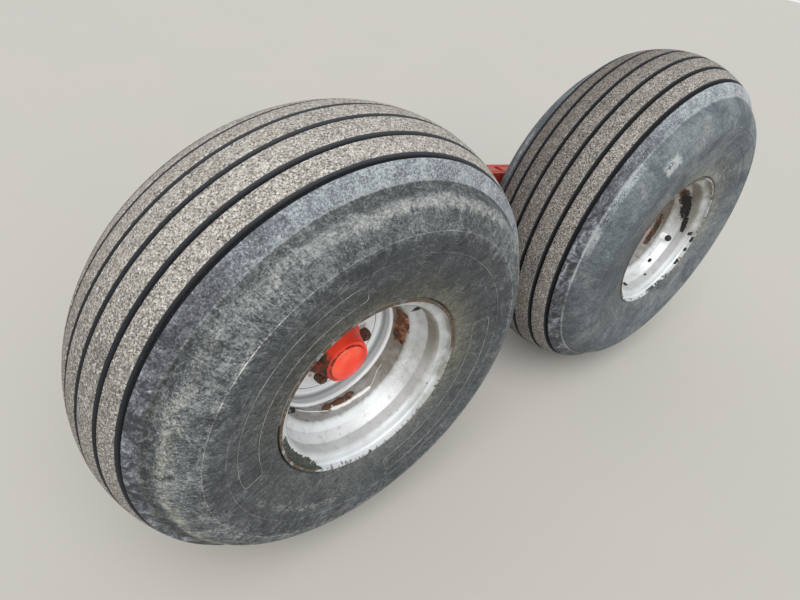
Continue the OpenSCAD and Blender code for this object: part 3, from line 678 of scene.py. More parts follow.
def front_damage(f):
    """Rust, black scars and lifted paint at their places in the front rim."""
    fresh = f.both(f.patch(9, 20, -0.0855, 0.0225, -0.0003, 0.5, 110, 21), f.rise(f.y, -0.109, -0.1065))
    rusts = [fresh, f.patch(178, 14, -0.040, 0.014, 0.0, 0.6, 90, 36)]
    dot = f.both(f.patch(-28, 0.55, -0.184, 0.0014, 0.0, 0.15, 60, 24), f.ring(0.2105, 0.214, 0.0006))
    blacks = [f.patch(40, 11, -0.146, 0.0055, -0.0026, 0.25, 90, 23), dot]
    peel = f.both(f.patch(-154, 33, -0.2035, 0.0208, 0.00004, 0.22, 75, 25), f.rise(f.y, -0.1988, -0.1983))
    return rusts, blacks, [], peel


def rear_damage(f, ragged):
    """Rust, black scars and lifted paint at their places in the rear rim."""
    browns = [f.patch(30, 12, -0.126, 0.013, 0.0, 0.6, 100, 26), f.patch(-24, 20, -0.082, 0.009, 0.0, 0.7, 70, 27)]
    scars = ((17, 15, -0.137, 0.015, 0.00042, 0.9, 90, 21), (-3, 8, -0.154, 0.009, 0.0003, 0.8, 100, 38),
             (-53, 2.4, -0.129, 0.005, 0.0, 0.5, 140, 22), (-69, 1.6, -0.152, 0.0035, 0.0, 0.4, 150, 23),
             (-101, 3.2, -0.143, 0.007, 0.0, 0.5, 120, 24), (-10, 1.8, -0.183, 0.004, 0.0, 0.4, 150, 25))
    lip_chips = [(at, half, -0.1945, 0.0045, 0.0, 0.6, 120, 43) for at, half in ((-15, 2.6), (-25, 2), (-38, 3))]
    blacks = [f.patch(*scar) for scar in (*scars, *lip_chips)]
    peel = f.both(f.patch(-66, 15, -0.1965, 0.007, 0.0, 0.9, 110, 42), f.rise(ragged, 0.43, 0.46))
    return [], blacks, browns, peel


def rim_paint(side, seed):
    """Silver grey paint with dust in the well, painted light and shade on the disc and the rim, and rust where it
    has lifted.
    """
    f, c = WheelFinish(side, "rim_paint", seed), tints()
    noises = (f.noise(15, 4, 0.6, bend=0.3), f.noise(190, 3, 0.7, seed=1), f.noise(46, 6, 0.7, seed=4),
              f.noise(11, 5, 0.62, bend=0.8, seed=3))
    cloud, fine, ragged, smudge = noises
    # dirt holds the rim's dust and the painted shade on its lip and right side.
    base, dirt = rim_dirt_and_shade(f, c, noises)
    base = disc_dirt_and_painted_light(f, base, noises)
    if f.front:
        rusts, blacks, browns, peel = front_damage(f)
    else:
        rusts, blacks, browns, peel = rear_damage(f, ragged)
        bare_square = f.patch(-23, 3.4, -0.119, 0.010, 0.0, 0.5, 90, 39)
        base = f.mix(bare_square, base, srgb(252, 254, 254))
    # Paint broken away along the lip's end, rusty there over most of the circle
    notch = f.noise(1, 5, 0.72, place=f.along(f.own(26, 14), 0, 60), seed=28)
    bare_arc = f.sector(*f.own((118, 112, 8), (150, 72, 10)))
    chipped = f.blend(bare_arc, f.rise(notch, 0.5, 0.58, 0, 0.8), f.rise(ragged, 0.34, 0.5, 0.55, 1))
    browns += [f.both(f.rise(f.y, -0.1968, -0.1986), chipped)]
    torn_out = f.rise(notch, *f.own((0.61, 0.63), (0.575, 0.585)))
    blacks += [f.both(f.rise(f.y, f.own(-0.193, -0.1905), -0.1955), torn_out, f.calc("SUBTRACT", 1, bare_arc)),
               f.both(f.rise(f.y, -0.186, -0.197), f.rise(notch, 0.53, 0.55), f.sector(-112, 8, 3)),
               f.both(f.rise(f.y, -0.188, -0.194), f.rise(notch, 0.67, 0.69))]
    rusts += [f.both(f.rise(f.noise(34, 6, 0.75, seed=30), 0.72, 0.74), f.rise(cloud, 0.4, 0.6))]
    rust, black, brown = f.most(*rusts), f.most(*blacks), f.most(*browns)
    scale = f.noise(200, 5, 0.78, seed=31)
    flaking = f.total((scale, 0.5), (ragged, 0.5))
    base = f.coats(
        base,
        (brown, f.ramp(flaking, (0.38, srgb(44, 38, 30)), (0.48, srgb(74, 60, 46)), (0.56, srgb(104, 82, 64)),
                       (0.66, srgb(164, 152, 134)))),
        (rust, f.ramp(flaking, (0.42, c.dark_rust), (0.47, srgb(78, 52, 38)), (0.51, c.rust),
                      (0.56, srgb(156, 102, 64)), (0.62, srgb(190, 176, 160)))),
        (black, f.mix(f.rise(scale, 0.54, 0.72), srgb(36, 35, 33), srgb(88, 74, 60))),
        (peel, f.ramp(scale, (0.36, srgb(44, 46, 42)), (0.5, srgb(72, 76, 70)), (0.66, srgb(104, 104, 94)))))
    bare = f.most(rust, black, peel, brown)
    rough = f.blend(f.most(bare, f.both(dirt, 0.8)), 0.38, 0.9)
    height = f.total((bare, -0.9), (fine, 0.1), (f.both(bare, scale), 1.2), (f.both(dirt, smudge), 0.3))
    metal = f.blend(f.most(bare, dirt), 0.25, 0.0)
    return f.finish(base, rough, height, 0.7, 0.0013, metal=metal, specular=0.45)


# Red paint of the hubs and the beam


def scuffed(f, base, amount, fine):
    """Fine light scratches and rubbed spots over a painted face."""
    hairs = f.most(f.hairs(15, 0.06, 0.006, 0.02, 60), f.hairs(75, 0.05, 0.006, 0.02, 61))
    return f.coats(base, (f.both(hairs, amount), srgb(226, 128, 108)),
                   (f.rise(fine, 0.56, 0.82, 0, amount * 0.5), srgb(226, 112, 88)))


def rusting(f, base, patchy, fleck, start, c):
    """Rust through a painted face where two noises meet, with a brown edge round it."""
    worn = f.total((patchy, 0.5), (fleck, 0.5))
    chip = f.rise(worn, start, start + 0.012)
    scale = f.noise(230, 5, 0.75, seed=62)
    rust = f.ramp(scale, (0.35, c.dark_rust), (0.55, c.rust), (0.75, srgb(150, 108, 78)))
    return f.coats(base, (f.rise(worn, start - 0.035, start, 0, 0.6), srgb(122, 58, 38)), (chip, rust)), chip


def hub_paint(side, seed):
    """Red paint of the hub, with old grease and dirt down one side of the barrel."""
    f, c = WheelFinish(side, "hub_paint", seed), tints()
    cloud = f.noise(18, 5, 0.6, bend=0.4)
    fine = f.noise(190, 5, 0.7, seed=1)
    patchy = f.noise(40, 7, 0.7, seed=2)
    base = scuffed(f, f.mix(f.rise(cloud, 0.35, 0.7), c.hub_red, srgb(228, 54, 36)), 0.35, fine)
    base, chip = rusting(f, base, patchy, f.noise(110, 6, 0.7, seed=3), 0.63, c)
    grease = f.most(f.both(f.sector(190, 42, 12), f.band(f.y, -0.099, -0.03, 0.006),
                           f.rise(patchy, 0.68, 0.46, 0.35, 1.0)),
                    f.both(f.rise(f.y, -0.05, -0.038), f.rise(patchy, 0.4, 0.56), 0.7),
                    f.both(f.rise(f.y, 0.0, 0.02), f.rise(cloud, 0.34, 0.6, 0.3, 0.85)))
    base = f.mix(grease, base, f.ramp(f.noise(120, 6, 0.72, seed=5), (0.36, srgb(36, 31, 22)),
                                      (0.52, srgb(66, 56, 38)), (0.7, srgb(110, 94, 68))))
    height = f.total((chip, -0.5), (fine, 0.15), (f.both(grease, patchy), 1.4))
    return f.finish(base, f.blend(f.most(chip, grease), 0.38, 0.78), height, 0.6, 0.0012)


def cap_paint(side, seed):
    """Bright red gloss of the dust cap, a little dusty, with a painted highlight on its upper left, painted shade
    on its lower right and a painted shadow along its upper left edge.
    """
    f, c = WheelFinish(side, "cap_paint", seed), tints()
    cloud = f.noise(26, 5, 0.6, bend=0.4)
    fine = f.noise(260, 5, 0.72, seed=1)
    # Painted highlight on the cap's upper left (paler), and painted shade on its lower right.
    paler = f.both(f.sector(125, 55, 50), f.rise(f.radius, 0.01, 0.034), f.rise(cloud, 0.3, 0.6, 0.2, 0.5))
    cap_shade = f.both(f.sector(-50, 60, 50), f.rise(f.radius, 0.012, 0.042), 0.5)
    # Painted shadow: a thin broken dark line along the cap's upper left edge, where it meets the hub's mouth.
    edge = f.both(f.rise(f.radius, 0.0445, 0.0459), f.rise(f.noise(90, 5, 0.7, seed=3), 0.36, 0.56),
                  f.sector(120, 70, 40))
    base = f.coats(
        f.mix(f.rise(cloud, 0.35, 0.7), c.bright_red, srgb(246, 56, 32)),
        (f.both(f.hairs(65, 0.03, 0.003, 0.02, 2), 0.4), srgb(250, 150, 126)),
        (f.rise(fine, 0.6, 0.82, 0, 0.4), srgb(236, 118, 90)),
        (paler, srgb(255, 128, 98)), (cap_shade, srgb(226, 42, 22)), (f.both(edge, 0.85), srgb(84, 32, 22)),
        (f.specks(150, 0.1, 0.2, 4), srgb(92, 44, 32)))
    return f.finish(base, f.rise(cloud, 0.3, 0.7, 0.24, 0.42), f.total((fine, 0.3), (cloud, 1.0)), 0.25, 0.0012)


def beam_paint():
    """The beam's red paint, worn to rust along its edges and dirty below."""
    f, c = Finish("beam_red_paint", seed=3), tints()
    cloud = f.noise(5, 5, 0.6, bend=0.5)
    fine = f.noise(180, 5, 0.7, seed=1)
    patchy = f.noise(26, 7, 0.72, seed=2)
    run = f.noise(1, 6, 0.65, seed=3, place=f.join(
        f.calc("MULTIPLY", f.x, 60), f.calc("MULTIPLY", f.y, 60), f.calc("MULTIPLY", f.z, 7)))
    base = f.coats(f.mix(f.rise(cloud, 0.35, 0.7), c.beam_red, srgb(164, 28, 20)),
                   (f.rise(run, 0.54, 0.78, 0, 0.4), srgb(134, 60, 42)))
    up = f.split(f.add("ShaderNodeNewGeometry").outputs["Normal"])[2]
    dust = f.both(f.rise(up, 0.15, 0.9, 0.22, 0.8), f.rise(f.total((patchy, 0.5), (cloud, 0.5)), 0.38, 0.64))
    splash = f.both(f.rise(f.z, 0.07, -0.11, 0.05, 0.8),
                    f.rise(f.total((patchy, 0.6), (f.noise(90, 4, 0.7, seed=9), 0.4)), 0.46, 0.6))
    dirty = f.most(dust, splash)
    base = f.coats(scuffed(f, base, 0.5, fine),
                   (dirty, f.mix(f.rise(fine, 0.4, 0.65), c.mud, srgb(118, 100, 80))),
                   (f.specks(130, 0.14, 0.24, 10), srgb(166, 150, 128)))
    edge = f.both(f.rise(f.calc("ABSOLUTE", f.y), BEAM_HALF - 0.0016, BEAM_HALF - 0.0004),
                  f.rise(f.noise(46, 6, 0.7, seed=5), 0.5, 0.56), f.rise(f.calc("ABSOLUTE", up), 0.25, 0.5))
    base, chip = rusting(f, base, patchy, f.noise(80, 6, 0.72, seed=6), 0.612, c)
    base = f.mix(edge, base, f.mix(f.rise(fine, 0.4, 0.6), c.rust, c.dark_rust))
    bare = f.most(chip, edge)
    height = f.total((bare, -0.6), (fine, 0.15), (dirty, 0.4), (cloud, 0.4))
    return f.finish(base, f.blend(f.most(bare, dirty), 0.36, 0.9), height, 0.6, 0.0013)


def weld_metal(name, paint_colour, seed):
    """A painted weld whose ripples rust and hold dirt."""
    f, c = Finish(name, seed=seed), tints()
    patchy = f.noise(60, 6, 0.7)
    fine = f.noise(320, 4, 0.7, seed=1)
    base = f.coats(paint_colour, (f.rise(fine, 0.45, 0.72, 0, 0.5), c.dark_rust),
                   (f.rise(patchy, 0.56, 0.62), c.rust),
                   (f.rise(f.noise(120, 4, 0.7, seed=2), 0.56, 0.7, 0, 0.5), c.grime))
    return f.finish(base, f.rise(patchy, 0.4, 0.6, 0.5, 0.85), fine, 0.6, 0.0008)


# Bare metal and old repairs


def rusted_steel(name, at=(0, 0, 0), seed=0.0, size=280, depth=0.0012):
    """Steel under an uneven coat of dark brown rust, with a few pale flecks of old paint."""
    f, c = Finish(name, at, seed), tints()
    grain = f.noise(size, 6, 0.78)
    patchy = f.noise(60, 5, 0.65, seed=1)
    base = f.coats(
        f.ramp(f.total((grain, 0.65), (patchy, 0.35)), (0.38, srgb(42, 31, 26)), (0.46, srgb(72, 48, 36)),
               (0.58, c.rust), (0.72, srgb(150, 104, 72))),
        (f.rise(f.total((grain, 0.8), (patchy, 0.2)), 0.57, 0.64, 0, 0.7), srgb(172, 154, 136)),
        (f.specks(0.68 * size, 28 / size, 0.3, 2), srgb(186, 177, 164)))
    return f.finish(base, f.rise(grain, 0.3, 0.7, 0.7, 0.95), f.total((grain, 1), (patchy, 0.6)), 0.9, depth)


def flaked_paint(name, at, seed=0.0):
    """Thick pale paint over the rim's repair and its scars."""
    f = Finish(name, at, seed)
    patchy = f.noise(90, 5, 0.65)
    fine = f.noise(300, 4, 0.7, seed=1)
    base = f.coats(srgb(236, 236, 232), (f.rise(fine, 0.45, 0.75), srgb(204, 202, 194)),
                   (f.rise(patchy, 0.6, 0.7, 0, 0.6), srgb(150, 132, 112)))
    return f.finish(base, f.rise(patchy, 0.4, 0.7, 0.42, 0.7), f.total((fine, 1), (patchy, 1)), 0.5, 0.0008)


def greasy_steel(name, at=(0, 0, 0), seed=0.0):
    """Turned steel with old grease and dirt on it."""
    f = TurnedFinish(name, at, seed)
    patchy = f.noise(36, 6, 0.68)
    fine = f.noise(220, 4, 0.7, seed=1)
    lathe = f.noise(1, 4, 0.6, place=f.along(3, 400, 900), seed=2)
    base = f.coats(srgb(128, 124, 118), (f.rise(lathe, 0.4, 0.65), srgb(96, 90, 84)),
                   (f.rise(patchy, 0.4, 0.62), srgb(58, 48, 38)),
                   (f.rise(fine, 0.5, 0.75, 0, 0.5), srgb(104, 76, 54)))
    height = f.total((fine, 0.6), (lathe, 0.8), (patchy, 1))
    return f.finish(base, f.rise(patchy, 0.35, 0.65, 0.34, 0.75), height, 0.4, 0.0007, metal=0.5)


def bronze(name, seed=0.0):
    """Bearing bronze, brown in the open and bright where the pin runs."""
    f = TurnedFinish(name, seed=seed)
    patchy = f.noise(50, 6, 0.68)
    lathe = f.noise(1, 6, 0.7, place=f.along(4, 500, 300), seed=1)
    in_the_open = f.both(f.rise(f.radius, 0.058, 0.062), f.rise(f.noise(70, 6, 0.7, seed=2), 0.42, 0.56), 0.85)
    base = f.coats(srgb(176, 136, 74), (f.rise(patchy, 0.38, 0.66), srgb(112, 82, 48)),
                   (f.rise(lathe, 0.5, 0.75, 0, 0.4), srgb(206, 172, 108)), (in_the_open, srgb(56, 46, 36)))
    height = f.total((lathe, 1), (patchy, 0.5))
    return f.finish(base, f.rise(patchy, 0.35, 0.65, 0.3, 0.6), height, 0.3, 0.0005, metal=0.75)


def plated_steel(name, at=(0, 0, 0), seed=0.0):
    """Zinc plate gone dull."""
    f = Finish(name, at, seed)
    patchy = f.noise(90, 6, 0.68)
    fine = f.noise(420, 3, 0.6, seed=1)
    base = f.coats(srgb(176, 172, 160), (f.rise(patchy, 0.4, 0.66), srgb(112, 98, 78)),
                   (f.rise(fine, 0.5, 0.7, 0, 0.5), srgb(84, 70, 54)))
    height = f.total((patchy, 1), (fine, 0.5))
    return f.finish(base, f.rise(patchy, 0.35, 0.65, 0.35, 0.7), height, 0.4, 0.0006, metal=0.65)


def pale_floor():
    """A plain pale floor with the faintest unevenness."""
    f, c = Finish("pale_floor"), tints()
    base = f.mix(f.rise(f.noise(1.2, 3, 0.5), 0.3, 0.7), c.floor, srgb(187, 184, 178))
    return f.finish(base, 0.9, specular=0.2)


# Modelling


def start(name):
    """Names the piece just made, and hands it back."""
    bpy.context.object.name = name
    bpy.context.object.data.name = name
    return bpy.context.object


def nothing_selected():
    if bpy.context.object and bpy.context.object.mode != "OBJECT":
        bpy.ops.object.mode_set(mode="OBJECT")
    bpy.ops.object.select_all(action="DESELECT")


def only(piece):
    nothing_selected()
    piece.select_set(True)
    bpy.context.view_layer.objects.active = piece


def pick(piece, test, kind="VERT"):
    """Selects the parts of a piece that pass a test, and leaves it in edit mode."""
    only(piece)
    bpy.ops.object.mode_set(mode="EDIT")
    bpy.ops.mesh.select_mode(type=kind)
    bpy.ops.mesh.select_all(action="DESELECT")
    bpy.ops.object.mode_set(mode="OBJECT")
    for part in {"VERT": piece.data.vertices, "FACE": piece.data.polygons}[kind]:
        part.select = bool(test(part))
    bpy.ops.object.mode_set(mode="EDIT")


def done_editing(smooth=None):
    bpy.ops.object.mode_set(mode="OBJECT")
    if smooth is not None:
        bpy.ops.object.shade_smooth_by_angle(angle=math.radians(smooth))


def drawn_line(name, points, cuts=0):
    """A chain of edges through points, drawn by extruding one corner along."""
    nothing_selected()
    bpy.ops.mesh.primitive_plane_add(size=0.01, location=(0, 0, 0))
    piece = start(name)
    bpy.ops.object.mode_set(mode="EDIT")
    bpy.ops.mesh.select_mode(type="VERT")
    bpy.ops.mesh.select_all(action="SELECT")
    bpy.ops.mesh.merge(type="CENTER")
    bpy.ops.transform.translate(value=points[0])
    for here, there in zip(points, points[1:]):
        step = [b - a for a, b in zip(here, there)]
        bpy.ops.mesh.extrude_vertices_move(TRANSFORM_OT_translate={"value": step})
    if cuts:
        bpy.ops.mesh.select_all(action="SELECT")
        bpy.ops.mesh.subdivide(number_cuts=cuts)
    bpy.ops.object.mode_set(mode="OBJECT")
    return piece


def turned(name, profile, at=Vector((0, 0, 0)), steps=160, smooth=30, closed=True):
    """A profile of (along the axle, radius) turned about the axle through at."""
    piece = drawn_line(name, [(at.x + r, at.y + y, at.z) for y, r in profile])
    last = len(profile) - 1
    if closed:
        pick(piece, lambda v: v.index in (0, last))
        bpy.ops.mesh.edge_face_add()
    else:
        only(piece)
        bpy.ops.object.mode_set(mode="EDIT")
    bpy.ops.mesh.select_all(action="SELECT")
    bpy.ops.mesh.spin(steps=steps, angle=2 * math.pi, center=at, axis=(0, 1, 0))
    bpy.ops.mesh.select_all(action="SELECT")
    bpy.ops.mesh.remove_doubles(threshold=1e-6)
    bpy.ops.mesh.normals_make_consistent(inside=False)
    done_editing(smooth)
    return piece


def placed(piece, matrix):
    """Moves a piece and keeps its place in its mesh."""
    only(piece)
    piece.matrix_world = matrix @ piece.matrix_world
    apply_place()
    return piece


def copied(piece, name, matrix):
    """The same piece with its own mesh, in another place."""
    only(piece)
    bpy.ops.object.duplicate(linked=False)
    return placed(start(name), matrix)


def joined(name, pieces):
    only(pieces[0])
    for piece in pieces[1:]:
        piece.select_set(True)
    if len(pieces) > 1:
        bpy.ops.object.join()
    return start(name)


def discard(*pieces):
    for piece in pieces:
        only(piece)
        bpy.ops.object.delete()


def apply_place():
    bpy.ops.object.transform_apply(location=True, rotation=True, scale=True)


def modified(piece, kind, **settings):
    """Adds a modifier and applies it."""
    only(piece)
    modifier = piece.modifiers.new(kind.lower(), kind)
    for key, value in settings.items():
        setattr(modifier, key, value)
    bpy.ops.object.modifier_apply(modifier=modifier.name)
    return piece


def turned_at(at, turn, axis):
    """A turn about an axis through at."""
    return Matrix.Translation(at) @ Matrix.Rotation(turn, 4, axis) @ Matrix.Translation(-Vector(at))


def about(at, degrees):
    """A turn about the axle through at, from the X axis towards the Z axis."""
    return turned_at(at, -math.radians(degrees), "Y")


def dress(piece, material, body, slot, *nodes):
    """Gives a piece its finish and its body, and hides the nodes that it stands in for; the slot is not used."""
    piece.data.materials.clear()
    piece.data.materials.append(material)
    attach(piece, body)
    if nodes:
        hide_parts(*nodes)


def paint(node, material):
    """Puts a finish on a node of the part."""
    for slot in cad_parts[node].material_slots:
        slot.material = material


def arc(cy, cr, radius, first, last, steps):
    """Points on an arc between two angles in degrees."""
    angles = [math.radians(first + (last - first) * i / steps) for i in range(steps + 1)]
    return [(cy + radius * math.cos(a), cr + radius * math.sin(a)) for a in angles]


def swell(reach, rippled):
    """How thick a bead is at a reach along it: even ripples, and two slower waves that part them."""
    ripples = 0.13 * math.cos(2 * math.pi * reach / rippled)
    return 0.86 + ripples + 0.06 * math.sin(reach * 173) + 0.05 * math.sin(reach * 61 + 1.3)


def rounded(piece, radius, rippled, sides=2):
    """Makes a line a round bead, thicker and thinner along its length, with small ends."""
    only(piece)
    bpy.ops.object.convert(target="CURVE")
    curve = bpy.context.object
    curve.data.bevel_depth = radius
    curve.data.bevel_resolution = sides
    curve.data.use_fill_caps = True
    for spline in curve.data.splines:
        last, reach = len(spline.points) - 1, 0.0
        for i, point in enumerate(spline.points):
            if i:
                reach += (point.co - spline.points[i - 1].co).length
            if i in (0, last) and not spline.use_cyclic_u:
                point.radius = BEAD_END
            else:
                point.radius = swell(reach, rippled) if rippled else 1.0
    bpy.ops.object.convert(target="MESH")
    bpy.ops.object.shade_smooth_by_angle(angle=math.radians(60))
    return bpy.context.object


def bead(name, points, radius, rippled=0.0, cuts=0, sides=2):
    return rounded(drawn_line(name, points, cuts), radius, rippled, sides)


def straight_bead(name, here, there, radius, rippled):
    """A weld bead along a straight seam, with enough points for its ripples."""
    cuts = int(math.dist(here, there) / rippled * 3)
    return bead(name, [here, there], radius, rippled, cuts)


def ring_bead(name, at, ring_r, radius, rippled):
    """A weld bead round the axle through at, with enough points for its ripples."""
    count = int(2 * math.pi * ring_r / rippled * 4)
    nothing_selected()
    bpy.ops.mesh.primitive_circle_add(vertices=count, radius=ring_r, location=at, rotation=(math.pi / 2, 0, 0))
    piece = start(name)
    apply_place()
    return rounded(piece, radius, rippled)


def hexagon(name, radius, near, far):
    """A six sided prism that stands on Y between two places."""
    nothing_selected()
    bpy.ops.mesh.primitive_cylinder_add(vertices=6, radius=radius, depth=far - near,
                                        location=(0, (near + far) / 2, 0), rotation=(math.pi / 2, 0, 0))
    piece = start(name)
    apply_place()
    return piece


def crown_at(y):
    """The radius of the tread's crown at a distance from its middle."""
    return TYRE_R - CROWN_R + math.sqrt(CROWN_R ** 2 - y * y)


def side_at(t, height=0.0):
    """A place on the curve of the sidewall."""
    t = math.radians(t)
    return (SIDEWALL_C + (SIDEWALL_R + height) * math.cos(t), BULGE_R + (SIDEWALL_R + height) * math.sin(t))


FOOT_Y, FOOT_R = RIM_HALF + LIP_W + 0.001, FLANGE_R + 0.005
LOW_FROM, LOW_TO = side_at(LOWER_LINE_T - 1.0), (FOOT_Y + 0.003, FOOT_R + 0.015)


def lower_wall(share):
    """A place on the flatter wall between the lower raised line and the rim."""
    return (LOW_FROM[0] + (LOW_TO[0] - LOW_FROM[0]) * share + 0.0013 * math.sin(math.pi * share),
            LOW_FROM[1] + (LOW_TO[1] - LOW_FROM[1]) * share)


def tyre_profile(edge):
    """The tyre's outside from the middle of the tread to the bead's toe, then its inside, mirrored."""
    def groove(y):
        shape = [(-GROOVE_HALF - edge, 0), (-GROOVE_HALF - edge * 0.3, 0.25), (-GROOVE_HALF + edge * 0.15, 1.0)]
        left = [(y + dy, crown_at(y + dy) - edge * drop) for dy, drop in shape]
        right = [(y - dy, crown_at(y - dy) - edge * drop) for dy, drop in reversed(shape)]
        floor = [(-GROOVE_FLOOR - 0.0005, 0.0012), (-GROOVE_FLOOR + 0.001, 0), (GROOVE_FLOOR - 0.001, 0),
                 (GROOVE_FLOOR + 0.0005, 0.0012)]
        bottom = crown_at(y) - GROOVE_DEEP
        return left + [(y + dy, bottom + rise) for dy, rise in floor] + right

    half, before = [(0.0, crown_at(0))], 0.0
    for y in GROOVES:
        first = y - GROOVE_HALF - edge
        half += [(place, crown_at(place)) for place in (before + (first - before) * k / 5 for k in range(1, 5))]
        half += groove(y)
        before = y + GROOVE_HALF + edge
    # The shoulder bends in one curve from the outer rib's edge to the low ridge
    (y0, r0), (y1, r1), (y2, r2) = half[-1], (TREAD_HALF + 0.0015, crown_at(TREAD_HALF)), side_at(RIDGE_T)
    for k in range(1, 8):
        there = k / 8
        back = 1 - there
        half.append((back ** 2 * y0 + 2 * back * there * y1 + there ** 2 * y2,
                     back ** 2 * r0 + 2 * back * there * r1 + there ** 2 * r2))
    half += [side_at(RIDGE_T + 0.6, 0.0006), side_at(RIDGE_T, 0.0012), side_at(RIDGE_T - 0.5, 0.0002)]
    half += [side_at(t) for t in range(61, 13, -4)]
    for line in (UPPER_LINE_T, LOWER_LINE_T):
        half += [side_at(line + t, height)
                 for t, height in ((1.0, 0), (0.45, 0.0008), (0, 0.001), (-0.45, 0.0008), (-1.0, 0))]
        if line == UPPER_LINE_T:
            half += [side_at(t) for t in (7, 3.5, 0, -3.5, -7, -10.5)]
    # The wall down to the rim, then the bead foot along the lip's curl and the seat
    half += [lower_wall(k / 6) for k in range(1, 7)]
    half += [(FOOT_Y + y, FOOT_R + r) for y, r in ((0.0016, 0.006), (0.0004, 0.0012), (-0.002, -0.0006))]
    half += arc(RIM_HALF + CURL_R, FLANGE_R - CURL_R, CURL_R + 0.0003, 90, 180, 6)
    half += arc(RIM_HALF - HEEL_R, SEAT_R + HEEL_R, HEEL_R - 0.0003, 0, -90, 5)
    # The inside, from the bead's toe back to the middle
    half += [(RIM_HALF - BEAD_W, SEAT_R + 0.0003), (RIM_HALF - BEAD_W, SEAT_R + BEAD_W / 3),
             (RIM_HALF - 0.006, SEAT_R + 1.5 * BEAD_W)]
    half += arc(SIDEWALL_C, BULGE_R, SIDEWALL_R - 0.012, -30, RIDGE_T, 8)
    half += [(y, crown_at(y) - 0.024) for y in (0.0888, 0.0592, 0.0296)]
    return half + [(-y, r) for y, r in reversed(half[1:])]


def outline_points(at):
    """The closed outline of an arched panel on the lower sidewall, with round corners."""
    def on_wall(r, degrees):
        share = (LOW_FROM[1] - r) / (LOW_FROM[1] - LOW_TO[1])
        y, r = lower_wall(share)
        turn = math.radians(degrees)
        return (at.x + r * math.cos(turn), at.y - y, at.z + r * math.sin(turn))

    reach = OUTLINE_SPREAD * 0.97
    points = []
    for side, r_from, r_to in ((1, OUTLINE_LOW_R, OUTLINE_HIGH_R), (-1, OUTLINE_HIGH_R, OUTLINE_LOW_R)):
        points += [on_wall(r_from, OUTLINE_AT + (-side * reach + side * 2 * reach * k / 40)) for k in range(1, 40)]
        inward = side * OUTLINE_CORNER
        near_end, end = OUTLINE_AT + side * (reach + 0.9), OUTLINE_AT + side * OUTLINE_SPREAD * 1.015
        points += [on_wall(r_from + inward * 0.3, near_end), on_wall(r_from + inward, end),
                   on_wall(r_to - inward, end), on_wall(r_to - inward * 0.3, near_end)]
    return points + points[:1]


def wheel_nut(pitch):
    """One nut on its washer, with the stud through it and the stud's head behind the hub."""
    top, foot = BOLT_FACE - NUT_H, BOLT_FACE - 0.002
    corner_r = NUT_AF / math.sqrt(3)
    nut = hexagon("nut", corner_r, top, foot)
    flat = NUT_AF / 2
    drop = (corner_r - flat) * 0.75
    envelope = turned(
        "nut_envelope",
        [(top - 0.0001, 0.0), (top - 0.0001, flat - 0.0006), (top + drop, corner_r + 0.0006),
         (foot - drop * 0.7, corner_r + 0.0006), (foot + 0.0001, flat - 0.0002), (foot + 0.0001, 0.0)],
        steps=48, closed=False)
    modified(nut, "BOOLEAN", operation="INTERSECT", object=envelope, solver="EXACT")
    discard(envelope)
    modified(nut, "BEVEL", width=0.0005, segments=2, limit_method="ANGLE", angle_limit=math.radians(25))
    bpy.ops.object.shade_smooth_by_angle(angle=math.radians(28))
    washer_r = NUT_AF * 0.56
    washer = turned(
        "washer",
        [(BOLT_FACE - 0.0001, STUD_R), (BOLT_FACE - 0.0001, washer_r), (BOLT_FACE - 0.0013, washer_r + 0.0004),
         (foot - 0.0004, washer_r - 0.0002), (foot - 0.0001, washer_r - 0.0012), (foot - 0.0001, STUD_R)],
        steps=40)
    end, root_r, head_r = top - STUD_OUT, STUD_R - 0.0009, STUD_R + 0.004
    thread = [(end, 0.0), (end, STUD_R - 0.0022), (end + 0.001, root_r)]
    for k in range(int((top - end - 0.001) / pitch)):
        y = end + 0.001 + k * pitch
        thread += [(y + pitch * 0.35, STUD_R), (y + pitch * 0.6, STUD_R), (y + pitch, root_r)]
    thread += [(top + 0.002, STUD_R - 0.0005), (FLANGE_BACK, STUD_R - 0.0005), (FLANGE_BACK, head_r),
               (FLANGE_BACK + 0.0045, head_r), (FLANGE_BACK + 0.006, head_r - 0.0015), (FLANGE_BACK + 0.006, 0.0)]
    stud = turned("stud", thread, steps=32, closed=False)
    return joined("wheel_nut", [nut, washer, stud])


def valve_at_origin():
    """A valve along -Y from its foot: rubber boot, brass stem and ridged cap."""
    boot = turned(
        "boot",
        [(0.0012, 0.0), (0.0012, 0.0078), (-0.0062, 0.0078), (-0.0066, 0.0110), (-0.0082, 0.0111),
         (-0.0100, 0.0088), (-0.0120, 0.0070), (-0.0270, 0.0062), (-0.0282, 0.0055), (-0.0282, 0.0)],
        steps=36, closed=False)
    stem = turned(
        "stem",
        [(-0.0270, 0.0), (-0.0270, 0.0048), (-0.0292, 0.0048), (-0.0297, 0.0041), (-0.0306, 0.0041),
         (-0.0306, 0.0)],
        steps=28, closed=False)
    cap = turned(
        "valve_cap",
        [(-0.0302, 0.0), (-0.0302, 0.0056), (-0.0308, 0.0062), (-0.0384, 0.0059), (-0.0394, 0.0050),
         (-0.0400, 0.0030), (-0.0400, 0.0)],
        steps=CAP_STEPS, smooth=20, closed=False)

    def gripped(face):
        """Every second long face round the cap's side."""
        around = math.degrees(math.atan2(face.center.z, face.center.x))
        return abs(face.normal.y) < 0.3 and face.area > 6e-6 and around // (360 / CAP_STEPS) % 2 == 0

    pick(cap, gripped, "FACE")
    bpy.ops.mesh.inset(thickness=0.0002, depth=-0.0004, use_individual=True)
    done_editing()
    return joined("valve", [boot, cap]), stem


